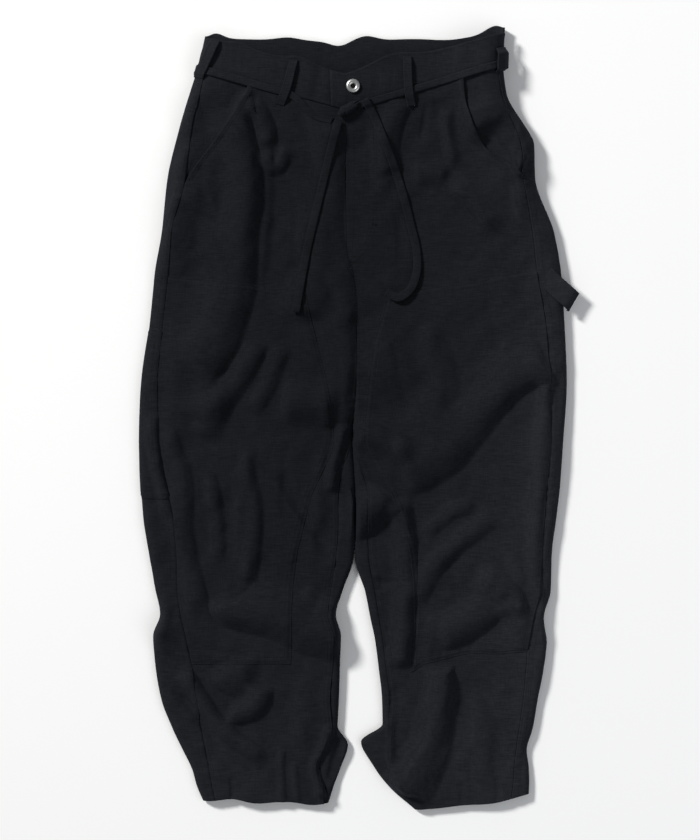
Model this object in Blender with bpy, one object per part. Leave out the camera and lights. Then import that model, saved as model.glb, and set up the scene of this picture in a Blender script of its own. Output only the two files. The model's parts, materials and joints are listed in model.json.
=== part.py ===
"""Painter trousers laid flat, waist towards +Y, front facing up.

Each half of the trousers is one flattened tube, set by a table of sections down its length.
A section gives the outline of the tube across the garment. The front covers its top between the
side seam and the rise or inseam, the back rolls round both edges and lies on the surface.
Plan positions are in steps of 1.22 mm from the corner of the laid-out sheet, heights are in mm.
"""
import math

import bmesh
import bpy
import numpy as np

STEP = 1.22
PLAN_X = 359.5
PLAN_Y = 419.5
CLOTH = 1.4
PANEL = 1.2
GAP = 0.35
BAND = 2.2
HALF_SEAM = 0.2 / STEP
TIE_WIDE = 9.2
TIE_THICK = 2.0
LOOP_WIDE = 10.4
LOOP_THICK = 1.2
SOFT_GAIN, SOFT_WIDE = 1.0, 1.15
CRISP_GAIN, CRISP_WIDE = 1.05, 1.2
CRISP_FROM, CRISP_LONG = 114.0, 30.0

COLUMNS = ("y_side", "y_front", "y_back", "x_out", "x_seam", "x_pocket", "x_panel", "x_inseam",
           "x_in", "side", "mid", "inner")

# Sections of the wearer's right half, from the waistband's top edge to the hem
RIGHT = (
    ("band_top", 38, 76, 42, 205, 221, 221, 285, 345, 345, 25, 23, 27),
    ("waist", 71, 112, 80, 197, 206, 248, 283, 346, 346, 24, 20, 25),
    ("seat", 96, 132, 104, 189, 200, 238, 284, 346, 346, 22, 17, 20),
    ("hip", 126, 150, 132, 180, 193, 222, 287, 346, 346, 21, 15, 16),
    ("pocket_end", 182, 194, 186, 167, 186, 187, 296, 346, 346, 20, 14, 14),
    ("upper", 230, 245, 240, 162, 173, 173, 301, 347, 347, 18, 13, 13),
    ("panel_top", 272, 299, 298, 155, 169, 169, 306, 356, 356, 17, 12, 12),
    ("thigh", 330, 345, 345, 149, 163, 163, 317, 357, 357, 16, 11, 12),
    ("mid", 382, 390, 390, 142, 158, 158, 328, 356, 356, 16, 11, 12),
    ("crotch", 430, 440, 440, 140, 159, 159, 334, 352, 352, 16, 11, 13),
    ("below", 456, 468, 468, 140, 161, 161, 325, 343, 353.3, 15, 11, 13),
    ("fork", 490, 496, 496, 141, 168, 168, 312, 338, 354.6, 15, 11, 13),
    ("inner1", 522, 527, 527, 144, 175, 175, 304, 338, 354.4, 15, 11, 13),
    ("inner2", 553, 557, 557, 149, 177, 177, 297, 336, 353.2, 14, 11, 12),
    ("inner3", 588, 590, 590, 155, 178, 178, 293, 331, 343, 14, 11, 12),
    ("pinch", 614, 615, 615, 160, 181, 181, 292, 328, 336, 15, 11, 13),
    ("knee", 636, 636, 636, 153, 186, 186, 292, 334, 341, 16, 11, 14),
    ("panel_bottom", 664, 664, 664, 155, 192, 192, 291, 333, 340, 14, 11, 13),
    ("calf", 699, 699, 699, 161, 197, 197, 290, 330, 339, 13, 10.5, 12),
    ("shin", 728, 726, 726, 172, 201, 201, 290, 332, 337.5, 12, 10.5, 11),
    ("cuff1", 749, 745, 745, 182, 205, 205, 289, 328, 348, 11, 10.5, 11),
    ("cuff2", 770, 767, 767, 192, 209, 209, 289, 320, 341, 11, 10.5, 10),
    ("cuff3", 787, 785, 785, 197, 212, 212, 288, 322, 334, 11, 10.5, 10),
    ("hem", 801, 802, 802, 203, 215, 215, 287, 324, 328, 11, 10.5, 9),
)

# Sections of the wearer's left half
LEFT = (
    ("band_top", 34, 76, 42, 505, 493, 493, 400, 345, 345, 32, 24, 27),
    ("waist", 66, 112, 80, 503, 497, 463, 402, 346, 346, 31, 22, 25),
    ("seat", 93, 132, 104, 506, 501, 465, 400, 346, 346, 28, 19, 20),
    ("hip", 145, 150, 132, 534, 520, 483, 392, 346, 346, 26, 17, 16),
    ("pocket_end", 178, 190, 186, 535, 523, 523, 389, 346, 346, 24, 15, 14),
    ("upper", 232, 245, 240, 554, 532, 532, 387, 347, 347, 20, 14, 13),
    ("panel_top", 265, 299, 298, 560, 536, 536, 386, 356, 356, 18, 13, 12),
    ("thigh", 330, 345, 345, 565, 546, 546, 373, 357, 357, 17, 12, 12),
    ("mid", 382, 390, 390, 567, 549, 549, 367, 356, 356, 17, 12, 12),
    ("crotch", 432, 440, 440, 564, 549, 549, 363, 352, 352, 16, 11, 13),
    ("below", 457, 468, 468, 562, 548, 548, 375, 361, 354.3, 16, 11, 13),
    ("fork", 492, 496, 496, 559.5, 546, 546, 391, 368, 355.6, 15, 11, 13),
    ("inner1", 522, 527, 527, 556, 544, 544, 402, 368, 355.4, 15, 11, 13),
    ("inner2", 553, 557, 557, 552, 541, 541, 410, 369, 355.2, 14, 11, 12),
    ("inner3", 590, 591, 591, 551, 540, 540, 413, 375, 365, 14, 11, 12),
    ("pinch", 618, 616, 616, 544, 533, 533, 414, 379, 370, 15, 11, 12),
    ("knee", 642, 640, 640, 547, 529, 529, 412, 383, 375, 16, 11, 13),
    ("panel_bottom", 655, 667, 667, 546, 527, 527, 410, 386, 378.5, 15, 11, 13),
    ("calf", 699, 700, 700, 538, 523, 523, 410, 390, 382, 13, 10.5, 12),
    ("shin", 728, 724, 724, 533, 519, 519, 410, 388, 382.5, 12, 10.5, 11),
    ("cuff1", 750, 742, 742, 527, 516, 516, 411, 387, 361, 11, 10.5, 11),
    ("cuff2", 767, 767, 767, 529, 514, 514, 412, 388, 374, 11, 10.5, 10),
    ("cuff3", 780, 789, 789, 529.5, 513, 513, 413, 398, 391, 11, 10.5, 10),
    ("hem", 793, 809, 809, 529, 511, 511, 425, 420, 415, 11, 10.5, 9),
)

# Rows of cells between named sections
ROWS = (("waist", "pocket_end", 8), ("pocket_end", "panel_top", 6), ("panel_top", "crotch", 9),
        ("crotch", "below", 4), ("below", "panel_bottom", 12), ("panel_bottom", "hem", 9))

# Folds: a bent line in plan through three places, its width on the upper left and lower right of it,
# its height (a hollow is below zero) and how much of each end fades away
FOLDS = (
    # name, x1, y1, x2, y2, x3, y3, width_a, width_b, height, fade
    ("r_thigh_hollow", 272, 150, 276, 220, 262, 310, 9, 24, -3, 0.3),
    ("r_hip_hollow", 170, 142, 178, 114, 202, 98, 12, 30, 8, 0.3),
    ("r_hip_patch", 186, 214, 200, 196, 224, 190, 20, 34, 5, 0.3),
    ("r_tip_patch", 300, 326, 306, 296, 330, 278, 26, 30, 8, 0.3),
    ("r_dent", 278, 402, 306, 404, 342, 406, 26, 24, 11, 0.25),
    ("r_blob", 190, 420, 206, 402, 232, 396, 22, 28, 5, 0.3),
    ("r_knee_shade", 162, 640, 172, 626, 188, 622, 12, 28, 7, 0.25),
    ("r_shin_in", 216, 694, 232, 676, 264, 670, 14, 30, 6, 0.3),
    ("l_hip_dent", 410, 174, 430, 172, 452, 178, 14, 18, 5, 0.25),
    ("l_hip_diagonal", 448, 184, 474, 206, 506, 246, 12, 20, 5.5, 0.2),
    ("l_facing_hollow", 467, 92, 472, 122, 488, 146, 14, 42, 9, 0.4),
    ("l_crotch_dent", 356, 428, 382, 432, 414, 446, 24, 24, 10, 0.25),
    ("l_thigh_in", 360, 388, 384, 366, 412, 346, 40, 44, 6, 0.35),
    ("l_thigh_low", 416, 440, 426, 412, 446, 392, 26, 30, 6, 0.3),
    ("l_knee_band", 424, 624, 452, 622, 490, 598, 16, 30, 9, 0.2),
    ("r_rise_puff", 306, 170, 316, 250, 318, 345, 24, 18, 3.5, 0.4),
    ("r_outer_ridge", 184, 300, 174, 390, 186, 480, 16, 18, 3, 0.3),
    ("r_leg_slant", 279, 470, 300, 508, 333, 556, 8, 10, -4, 0.2),
    ("r_leg_ridge", 240, 450, 242, 520, 244, 600, 10, 10, 2.5, 0.3),
    ("r_inner_ridge", 322, 440, 318, 500, 312, 570, 9, 12, 3, 0.3),
    ("r_knee_bulge", 170, 596, 159, 620, 160, 645, 12, 12, 4, 0.3),
    ("r_shin_slant", 172, 684, 200, 716, 224, 750, 9, 10, -3.5, 0.25),
    ("r_shin_ridge", 300, 670, 304, 720, 300, 775, 15, 15, 3, 0.3),
    ("r_cuff_hollow", 340, 735, 336, 756, 329, 786, 6, 10, -4, 0.2),
    ("l_pleat_ridge", 446, 104, 448, 138, 457, 172, 8, 9, 4, 0.25),
    ("l_fly_ridge", 383, 120, 380, 160, 384, 215, 10, 13, 3, 0.3),
    ("l_hip_ridge", 512, 140, 518, 180, 520, 240, 9, 12, 4, 0.3),
    ("l_facing_ridge", 522, 104, 521, 124, 517, 146, 6, 6, 3, 0.3),
    ("l_thigh_ridge", 424, 330, 432, 375, 440, 420, 14, 12, 3, 0.35),
    ("l_knee_ridge", 512, 545, 520, 600, 512, 680, 12, 14, 3, 0.35),
    ("l_knee_arc", 474, 560, 510, 562, 532, 596, 14, 18, 4, 0.25),
    ("l_knee_bulge", 550, 602, 544, 622, 547, 645, 9, 9, 4, 0.3),
    ("l_shin_ridge", 474, 690, 484, 745, 486, 800, 14, 18, 3, 0.3),
)

# Crisp folds: the places run along the foot of a steep flank, the crest lies to the right of a walker
# in the picture going down it, width_1 and width_2 away at its two ends, and falls away over far_width
CRISP = (
    # name, height, width_1, width_2, far_width, fade, places x, y
    ("r_thigh", 13.5, 13, 20, 38, 0.1,
     (248, 100, 257, 140, 263, 170, 264, 199, 259, 232, 258, 262, 256, 293, 247, 327, 238, 352,
      221, 377, 206, 396)),
    ("r_pleat", 8, 7, 8, 10, 0.2, (258, 92, 268, 108, 277, 128, 278, 152)),
    ("r_pouch", 7.5, 9, 9, 8, 0.2, (297, 142, 293, 160, 283, 175, 270, 177, 261, 168, 253, 150)),
    ("r_slant_a", 6.5, 7, 17, 14, 0.12,
     (270, 344, 260, 365, 250, 385, 238, 402, 229, 415, 225, 428, 218, 448)),
    ("r_slant_b", 5, 9, 9, 10, 0.2, (294, 343, 287, 365, 279, 387, 268, 405, 254, 420)),
    ("r_rise", 6.5, 15, 8, 24, 0.06,
     (345, 118, 346, 180, 345, 236, 352, 266, 356, 290, 357, 325, 355, 370, 352, 404, 350, 434)),
    ("r_wedge", 8, 7, 6, 8, 0.15, (353, 424, 347, 446, 341, 466, 338, 496)),
    ("r_side", 5, 5, 5, 8, 0.15, (158, 410, 161, 450, 168, 488, 176, 522)),
    ("r_long", 6.5, 9, 11, 16, 0.12,
     (171, 412, 187, 454, 194, 482, 194, 518, 200, 560, 208, 595, 214, 618)),
    ("r_arc", 14, 30, 10, 24, 0.12,
     (344, 664, 320, 656, 298, 648, 277, 642, 255, 633, 233, 627, 219, 620, 208, 604)),
    ("r_line_b", 5, 7, 7, 9, 0.25, (214, 462, 221, 494, 226, 520, 226, 566)),
    ("r_line_c", 6.5, 7, 9, 10, 0.15, (260, 440, 256, 470, 263, 500, 264, 523, 261, 557, 256, 596)),
    ("r_inner_c", 5, 9, 9, 10, 0.2, (340, 626, 320, 612, 296, 598)),
    ("r_shin_u", 7, 12, 9, 14, 0.12, (280, 690, 276, 704, 267, 716, 255, 725, 240, 731, 224, 727)),
    ("r_shin_side", 6, 8, 10, 14, 0.15, (196, 660, 208, 682, 219, 702, 232, 720, 246, 733)),
    ("r_shin_low", 4, 9, 8, 8, 0.25, (266, 762, 250, 750, 236, 742, 222, 730)),
    ("r_hem_a", 3, 4, 4, 5, 0.2, (285, 748, 284, 768, 287, 806)),
    ("r_hem_b", 2.5, 4, 4, 5, 0.2, (294, 760, 297, 779, 298, 806)),
    ("r_cuff", 4, 5, 4, 7, 0.12, (338, 724, 328, 750, 320, 768, 324, 784, 328, 800)),
    ("l_pleat", 5.5, 9, 14, 14, 0.15, (415, 104, 404, 131, 400.5, 150, 405, 174)),
    ("l_crease", 6, 12, 12, 12, 0.2, (438, 316, 446, 338, 453, 354, 459, 378, 461, 406)),
    ("l_big", 11, 13, 24, 36, 0.1,
     (556, 380, 524, 394, 504, 416, 484, 443, 467, 462, 441, 480, 410, 500)),
    ("l_crotch", 12, 18, 28, 18, 0.1, (408, 502, 393, 520, 381, 532, 366, 540, 350, 540)),
    ("l_gully", 8, 11, 11, 14, 0.08, (410, 498, 416, 522, 418, 556, 418, 594, 416, 628, 412, 672)),
    ("l_slant_a", 4.5, 8, 8, 9, 0.25, (477, 516, 459, 517, 444, 529, 426, 544)),
    ("l_slant_b", 5.5, 10, 10, 13, 0.15, (507, 520, 486, 536, 470, 548, 450, 565, 436, 584, 424, 612)),
    ("l_side", 4.5, 6, 7, 10, 0.1, (555, 366, 552, 400, 547, 470, 542, 530, 541, 562, 547, 606)),
    ("l_wedge", 12, 7, 24, 20, 0.05, (454, 664, 456, 690, 455, 719, 452, 755, 443, 779, 430, 808)),
    ("l_cuff", 3.5, 3, 3, 9, 0.1, (412, 802, 396, 787, 388, 768, 386, 751, 385, 714)),
)

# Where something lies under the back, the back is lifted off the surface
LIFTS = (
    # name, x1, y1, x2, y2, height, fade
    ("tie_under_waist", 150, 50, 560, 92, 4.5, 34),
    ("tool_pocket", 120, 330, 200, 506, 1.6, 26),
)

WAVES = (
    # name, x, depth, half_width of the scallops in the back waistband's top edge
    ("side_right", 216, 5, 10),
    ("quarter_right", 288, 3, 16),
    ("centre_right", 338, -4, 12),
    ("centre_left", 366, 5, 14),
    ("quarter_left", 448, -3, 24),
    ("side_left", 496, 9, 14),
)

FRONT_WAVES = (
    # name, x, depth, half_width of the waves in the front waistband's top edge
    ("side_right", 240, 3.5, 12),
    ("loop_right", 300, 5.5, 16),
    ("loop_left", 392, 8, 26),
)


BENDS = (
    # name, x, y, half_width, half_height, depth of local dips of the rows
    ("hem_right_a", 234, 801, 16, 16, -2.5),
    ("hem_right_b", 256, 801, 16, 16, 2.0),
    ("hem_right_c", 312, 801, 14, 16, 3.0),
    ("hem_left_a", 492, 800, 30, 20, 5.0),
    ("hem_left_b", 440, 806, 26, 20, 2.5),
    ("panel_left_a", 472, 660, 30, 14, -7.0),
    ("panel_left_b", 411, 664, 9, 12, 7.0),
    ("panel_left_c", 522, 656, 22, 14, -5.0),
    ("panel_left_top", 468, 279, 22, 13, 2.5),
    ("panel_right", 176, 272, 26, 14, 2.0),
)


def bezier(row, n=26):
    t = np.linspace(0.0, 1.0, n)[:, None]
    a = np.array([row[1], row[2]], float)
    c = np.array([row[5], row[6]], float)
    b = 2.0 * np.array([row[3], row[4]], float) - 0.5 * (a + c)
    return (1 - t) ** 2 * a + 2 * t * (1 - t) * b + t ** 2 * c


def smooth(x):
    x = np.clip(x, 0.0, 1.0)
    return x * x * (3.0 - 2.0 * x)


def fold_height(x, y, folds=FOLDS, wide=SOFT_WIDE):
    """Sum of the folds over plan positions x, y in steps."""
    total = np.zeros_like(x, dtype=float)
    for row in folds:
        line = bezier(row)
        w_a, w_b, height, fade = row[7:11]
        w_a, w_b = w_a * wide, w_b * wide
        reach = max(w_a, w_b)
        near = ((x > line[:, 0].min() - reach) & (x < line[:, 0].max() + reach)
                & (y > line[:, 1].min() - reach) & (y < line[:, 1].max() + reach))
        if not near.any():
            continue
        px, py = x[near], y[near]
        dist, turn, along = nearest(px, py, line)
        chord = line[-1] - line[0]
        side = turn * (-1.0 if 0.6 * chord[0] < chord[1] else 1.0)
        blend = smooth(0.5 + side / 4.0)
        width = w_a + (w_b - w_a) * blend
        shape = 0.5 + 0.5 * np.cos(math.pi * np.clip(dist / width, 0.0, 1.0))
        ends = smooth(along / fade) * smooth((1.0 - along) / fade)
        total[near] += height * shape * ends
    return total


def rounded(v, n):
    """Evenly spaced places on a smooth line through the rows of v."""
    s = np.concatenate([[0], np.cumsum(np.linalg.norm(np.diff(v[:, :2], axis=0), axis=1))])
    m = np.gradient(v, s, axis=0)
    t = np.linspace(0, s[-1], n)
    k = np.clip(np.searchsorted(s, t, side="right") - 1, 0, len(s) - 2)
    h = (s[k + 1] - s[k])[:, None]
    f = (t - s[k])[:, None] / h
    return ((1 + 2 * f) * (1 - f) ** 2 * v[k] + f * (1 - f) ** 2 * h * m[k]
            + f ** 2 * (3 - 2 * f) * v[k + 1] + f ** 2 * (f - 1) * h * m[k + 1])


def nearest(x, y, line):
    """Distance to a line, the side of it and how far along it, for plan places in steps."""
    a, b = line[:-1], line[1:]
    ab = b - a
    vx = x[:, None] - a[:, 0]
    vy = y[:, None] - a[:, 1]
    t = np.clip((vx * ab[:, 0] + vy * ab[:, 1]) / (ab ** 2).sum(1), 0.0, 1.0)
    dx = vx - t * ab[:, 0]
    dy = vy - t * ab[:, 1]
    d2 = dx ** 2 + dy ** 2
    k = d2.argmin(1)
    i = np.arange(len(x))
    side = (dy[i, k] * ab[k, 0] - dx[i, k] * ab[k, 1]) / np.linalg.norm(ab[k], axis=1)
    return np.sqrt(d2[i, k]), side, (k + t[i, k]) / len(ab)


def crisp_height(x, y):
    """Sum of the crisp folds over plan positions x, y in steps."""
    total = np.zeros_like(x, dtype=float)
    for name, height, width_1, width_2, far, fade, places in CRISP:
        line = rounded(np.array(places, float).reshape(-1, 2), 48)
        width_1, width_2, far = width_1 * CRISP_WIDE, width_2 * CRISP_WIDE, far * CRISP_WIDE
        reach = max(width_1, width_2) + far
        near = ((x > line[:, 0].min() - reach) & (x < line[:, 0].max() + reach)
                & (y > line[:, 1].min() - reach) & (y < line[:, 1].max() + reach))
        if not near.any():
            continue
        dist, side, along = nearest(x[near], y[near], line)
        width = width_1 + (width_2 - width_1) * along
        flank = np.sin(0.5 * math.pi * np.clip(dist / width, 0, 1))
        past = 0.5 + 0.5 * np.cos(math.pi * np.clip((dist - width) / far, 0, 1))
        crest = np.where(side > 0, np.where(dist < width, flank, past), 0.0)
        ends = smooth(along / fade) * smooth((1.0 - along) / fade)
        total[near] += height * crest * ends
    return total


def lift_height(x, y):
    total = np.zeros_like(x, dtype=float)
    for name, x1, y1, x2, y2, height, fade in LIFTS:
        out = np.hypot(np.maximum(np.maximum(x1 - x, x - x2), 0), np.maximum(np.maximum(y1 - y, y - y2), 0))
        total = np.maximum(total, height * (1.0 - smooth(out / fade)))
    return total


def slopes(s, v):
    """Slopes of a smooth curve through table values that never overshoots them."""
    h = np.diff(s)[:, None]
    d = np.diff(v, axis=0) / h
    m = np.zeros_like(v)
    same = d[:-1] * d[1:] > 0
    w1 = 2 * h[1:] + h[:-1]
    w2 = h[1:] + 2 * h[:-1]
    with np.errstate(divide="ignore", invalid="ignore"):
        mean = (w1 + w2) / (w1 / d[:-1] + w2 / d[1:])
    m[1:-1] = np.where(same, mean, 0.0)
    m[0] = d[0]
    m[-1] = d[-1]
    return m


def scallop(x, waves):
    """How far a waistband's top edge is raised at plan places x, in steps."""
    total = np.zeros_like(x)
    for name, cx, depth, half in waves:
        total = total + depth * np.exp(-((x - cx) / half) ** 2)
    return total


def bend_of(x, y, bends):
    """How far rows are pushed down locally, in steps."""
    total = np.zeros_like(x)
    for name, cx, cy, wide, tall, depth in bends:
        total = total + depth * np.exp(-((x - cx) / wide) ** 2 - ((y - cy) / tall) ** 2)
    return total


class Half:
    """One half of the trousers: its sections and the skin over them."""

    def __init__(self, table, sign):
        self.sign = sign
        self.names = [row[0] for row in table]
        self.v = np.array([row[1:] for row in table], float)
        mean_y = self.v[:, 0:3].mean(1)
        self.s = mean_y - mean_y[0]
        self.m = slopes(self.s, self.v)

    def at(self, name):
        return float(self.s[self.names.index(name)])

    def cols(self, s):
        """Table values at distances s down the half, one array for each column."""
        s = np.asarray(s, float)
        k = np.clip(np.searchsorted(self.s, s, side="right") - 1, 0, len(self.s) - 2)
        h = self.s[k + 1] - self.s[k]
        t = ((s - self.s[k]) / h)[..., None]
        h = h[..., None]
        low = t < 0
        high = t > 1
        tc = np.clip(t, 0, 1)
        v0, v1, m0, m1 = self.v[k], self.v[k + 1], self.m[k], self.m[k + 1]
        out = ((1 + 2 * tc) * (1 - tc) ** 2 * v0 + tc * (1 - tc) ** 2 * h * m0
               + tc ** 2 * (3 - 2 * tc) * v1 + tc ** 2 * (tc - 1) * h * m1)
        out = out + np.where(low, t * h * m0, 0) + np.where(high, (t - 1) * h * m1, 0)
        return {name: out[..., i] for i, name in enumerate(COLUMNS)}

    def roll(self, s):
        """0 where the two halves are one torso, 1 where the leg closes on its inner edge."""
        return smooth((s - self.at("thigh")) / (self.at("crotch") - self.at("thigh")))

    def skin(self, s, q):
        """Points of the outer skin in mm. q runs from the outer edge, above zero on the top side
        and below zero on the floor side, in steps."""
        s, q = np.broadcast_arrays(np.asarray(s, float), np.asarray(q, float))
        c = self.cols(s)
        k = self.roll(s)
        wide = np.abs(c["x_in"] - c["x_out"])
        closed = k > 0.999
        past_floor = (q < -wide) & closed
        past_top = (q > wide) & closed
        q = np.where(past_floor, q + 2 * wide, np.where(past_top, q - 2 * wide, q))
        top = q >= 0
        a = np.abs(q)
        u = a / wide
        x = c["x_out"] + self.sign * a
        y_in = np.where(top, c["y_front"], c["y_back"])
        back = np.where(u > 1, 2 - u, u)
        y = c["y_side"] + (y_in - c["y_side"]) * back
        wave = np.where(top, scallop(x, FRONT_WAVES), scallop(x, WAVES))
        y = y - wave * (1.0 - smooth(s / 30.0))
        y = y + bend_of(x, y, BENDS)
        uu = np.clip(u, 0, 1)
        first = smooth((uu - 0.08) / 0.36)
        second = smooth((uu - 0.5) / 0.42)
        base = c["side"] + (c["mid"] - c["side"]) * first + (c["inner"] - c["mid"]) * second
        crisp = crisp_height(x, y) * smooth((y - CRISP_FROM) / CRISP_LONG)
        h = base + fold_height(x, y) * SOFT_GAIN + crisp * CRISP_GAIN
        h = 7.0 + np.logaddexp(0.0, (h - 7.0) / 1.6) * 1.6
        floor = lift_height(x, y)
        z_sil = np.maximum(0.42 * c["side"], floor + 4.0)
        z_in_sil = 0.46 * c["inner"] + floor * 0.5
        r_top = np.maximum(c["side"] * 0.95, 9.0) / STEP
        r_low = z_sil * 1.05 / STEP
        r_in = np.maximum(c["inner"] * 0.62, 6.5) / STEP * np.maximum(k, 0.02)
        r_in_low = z_in_sil * 1.0 / STEP * np.maximum(k, 0.02)

        def arch(d, r):
            g = 1.0 - np.clip(d / r, 0.0, 1.0)
            return np.sqrt(np.maximum(1.0 - g * g, 0.0))

        d_in = np.maximum(wide - a, 0.0)
        z_top = z_sil + (h - z_sil) * arch(a, r_top)
        drop = (h - z_in_sil) * k
        z_top = z_top - drop * (1.0 - arch(d_in, r_in))
        z_low = floor + (z_sil - floor) * (1.0 - arch(a, r_low))
        z_low = z_low + (z_in_sil - floor) * k * (1.0 - arch(d_in, r_in_low))
        z = np.where(top, z_top, z_low)
        return np.stack([(x - PLAN_X) * STEP, (PLAN_Y - y) * STEP, z], -1)

    def out(self, s, q, gap):
        """Skin points with their outward directions, moved out by gap mm."""
        p = self.skin(s, q)
        n = self.normal(s, q)
        return p + n * np.asarray(gap)[..., None]

    def normal(self, s, q):
        s, q = np.broadcast_arrays(np.asarray(s, float), np.asarray(q, float))
        e = 1.1
        k = self.roll(s)
        wide = np.abs(self.cols(s)["x_in"] - self.cols(s)["x_out"])
        hi = np.where((k < 0.999) & (q <= wide) & (q + e > wide), wide, q + e)
        lo = np.where((k < 0.999) & (q >= -wide) & (q - e < -wide), -wide, q - e)
        du = self.skin(s, hi) - self.skin(s, lo)
        w_hi = np.abs(self.cols(s + e)["x_in"] - self.cols(s + e)["x_out"])
        w_lo = np.abs(self.cols(s - e)["x_in"] - self.cols(s - e)["x_out"])
        dv = self.skin(s + e, q * w_hi / wide) - self.skin(s - e, q * w_lo / wide)
        n = np.cross(dv, du) * self.sign
        return n / np.maximum(np.linalg.norm(n, axis=-1, keepdims=True), 1e-9)

    def row_list(self, first, last, rows=ROWS):
        out = [self.at(first)]
        on = False
        for a, b, n in rows:
            on = on or a == first
            if on:
                out += list(np.linspace(self.at(a), self.at(b), n + 1)[1:])
            if b == last:
                break
        return np.array(out)

    def q_of(self, s, column):
        c = self.cols(s)
        return np.abs(c[column] - c["x_out"])

    def find(self, x, y):
        """Distance down the half and q of the top skin at plan place x, y in steps."""
        lo, hi = np.full(np.shape(x), -20.0), np.full(np.shape(x), float(self.s[-1]) + 10.0)
        x, y = np.asarray(x, float), np.asarray(y, float)
        for _ in range(30):
            s = 0.5 * (lo + hi)
            c = self.cols(s)
            u = np.abs(x - c["x_out"]) / np.abs(c["x_in"] - c["x_out"])
            u = np.where(u > 1, 2 - u, u)
            yy = c["y_side"] + (c["y_front"] - c["y_side"]) * u
            lo = np.where(yy < y, s, lo)
            hi = np.where(yy < y, hi, s)
        return s, (x - self.cols(s)["x_out"]) * self.sign


def block(half, s, q_from, q_to, count, bend=8.0):
    """q of evenly spread columns between two places on one row, closer together where it bends."""
    wide = float(half.q_of(s, "x_in"))
    near = np.linspace(-1, 1, 61)
    near = np.sign(near) * near * near * 14
    q = np.concatenate([np.linspace(q_from, q_to, 160), near, near - wide])
    lo, hi = min(q_from, q_to), max(q_from, q_to)
    q = np.unique(np.concatenate([q[(q > lo) & (q < hi)], [lo, hi]]))
    if q_from > q_to:
        q = q[::-1]
    p = half.skin(s, q)[:, [0, 2]]
    d = np.diff(p, axis=0)
    length = np.hypot(d[:, 0], d[:, 1])
    angle = np.unwrap(np.arctan2(d[:, 1], d[:, 0]))
    turn = np.abs(np.diff(angle, prepend=angle[0]))
    w = np.concatenate([[0], np.cumsum(length + bend * turn)])
    return np.interp(np.linspace(0, w[-1], count + 1), w, q)


def around_back(half, rows, q_start, q_end, outer=6, floor=4, inner=6):
    """Columns of a back: outer roll, floor and inner roll each keep their own columns."""
    out = []
    for i, s in enumerate(rows):
        c = half.cols(s)
        k = float(half.roll(s))
        wide = float(np.abs(c["x_in"] - c["x_out"]))
        edge = -(0.42 * float(c["side"]) * 1.05 / STEP + 3.0)
        foot = -wide + 30.0 * (1.0 - k) + (0.46 * float(c["inner"]) / STEP + 1.0) * k
        first = block(half, s, float(q_start[i]), edge, outer)
        last = block(half, s, foot, float(q_end[i]), inner)
        middle = np.linspace(edge, foot, floor + 1)[1:-1]
        out.append(np.concatenate([first, middle, last]))
    return np.array(out)


def grid_normals(p):
    dv = np.gradient(p, axis=0)
    du = np.gradient(p, axis=1)
    n = np.cross(dv, du)
    return n / np.maximum(np.linalg.norm(n, axis=-1, keepdims=True), 1e-9)


def closed_sheet(top, bottom):
    """Vertices and faces of a closed wall between two grids of the same shape."""
    rows, cols = top.shape[:2]
    count = rows * cols
    verts = np.concatenate([top.reshape(-1, 3), bottom.reshape(-1, 3)])
    idx = np.arange(count).reshape(rows, cols)
    faces = []
    for i in range(rows - 1):
        for j in range(cols - 1):
            a, b, c, d = idx[i, j], idx[i, j + 1], idx[i + 1, j + 1], idx[i + 1, j]
            faces += [(a, d, c), (a, c, b)]
            faces += [(a + count, c + count, d + count), (a + count, b + count, c + count)]
    edge = ([idx[0, j] for j in range(cols)] + [idx[i, -1] for i in range(1, rows)]
            + [idx[-1, j] for j in range(cols - 2, -1, -1)] + [idx[i, 0] for i in range(rows - 2, 0, -1)])
    for k in range(len(edge)):
        a, b = edge[k], edge[(k + 1) % len(edge)]
        faces += [(a, b, b + count), (a, b + count, a + count)]
    return verts, faces


MATERIALS = {
    "navy_cloth": ((0.012, 0.014, 0.020, 1.0), 0.9, 0.0),
    "navy_tie": ((0.010, 0.011, 0.016, 1.0), 0.9, 0.0),
    "steel": ((0.62, 0.62, 0.61, 1.0), 0.35, 1.0),
}
PARTS = []


def material(slot, node):
    color, rough, metal = MATERIALS[slot]
    mat = bpy.data.materials.new(slot + "_" + node)
    mat.use_nodes = True
    shader = mat.node_tree.nodes["Principled BSDF"]
    shader.inputs["Base Color"].default_value = color
    shader.inputs["Roughness"].default_value = rough
    shader.inputs["Metallic"].default_value = metal
    return mat


def add_mesh(name, verts, faces, slot="navy_cloth"):
    mesh = bpy.data.meshes.new(name)
    mesh.from_pydata([tuple(v) for v in verts], [], [tuple(int(i) for i in f) for f in faces])
    bm = bmesh.new()
    bm.from_mesh(mesh)
    bmesh.ops.recalc_face_normals(bm, faces=bm.faces)
    bm.to_mesh(mesh)
    bm.free()
    mesh.materials.append(material(slot, name))
    obj = bpy.data.objects.new(name, mesh)
    GARMENT.objects.link(obj)
    PARTS.append(obj)
    return obj


def wall(name, outer, normals, inside, outside=0.0, slot="navy_cloth"):
    verts, faces = closed_sheet(outer + normals * np.asarray(outside)[..., None],
                                outer + normals * np.asarray(inside)[..., None])
    return add_mesh(name, verts, faces, slot)


def panel_grid(half, s_rows, q):
    """Skin points and outward directions of a grid, the directions smooth up to its edges."""
    s = np.broadcast_to(np.asarray(s_rows)[:, None], q.shape)
    return half.skin(s, q), half.normal(s, q)


for item in list(bpy.data.objects):
    bpy.data.objects.remove(item, do_unlink=True)
GARMENT = bpy.data.collections.new("painter_trousers")
bpy.context.scene.collection.children.link(GARMENT)

HALVES = {"right": Half(RIGHT, 1.0), "left": Half(LEFT, -1.0)}

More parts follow.
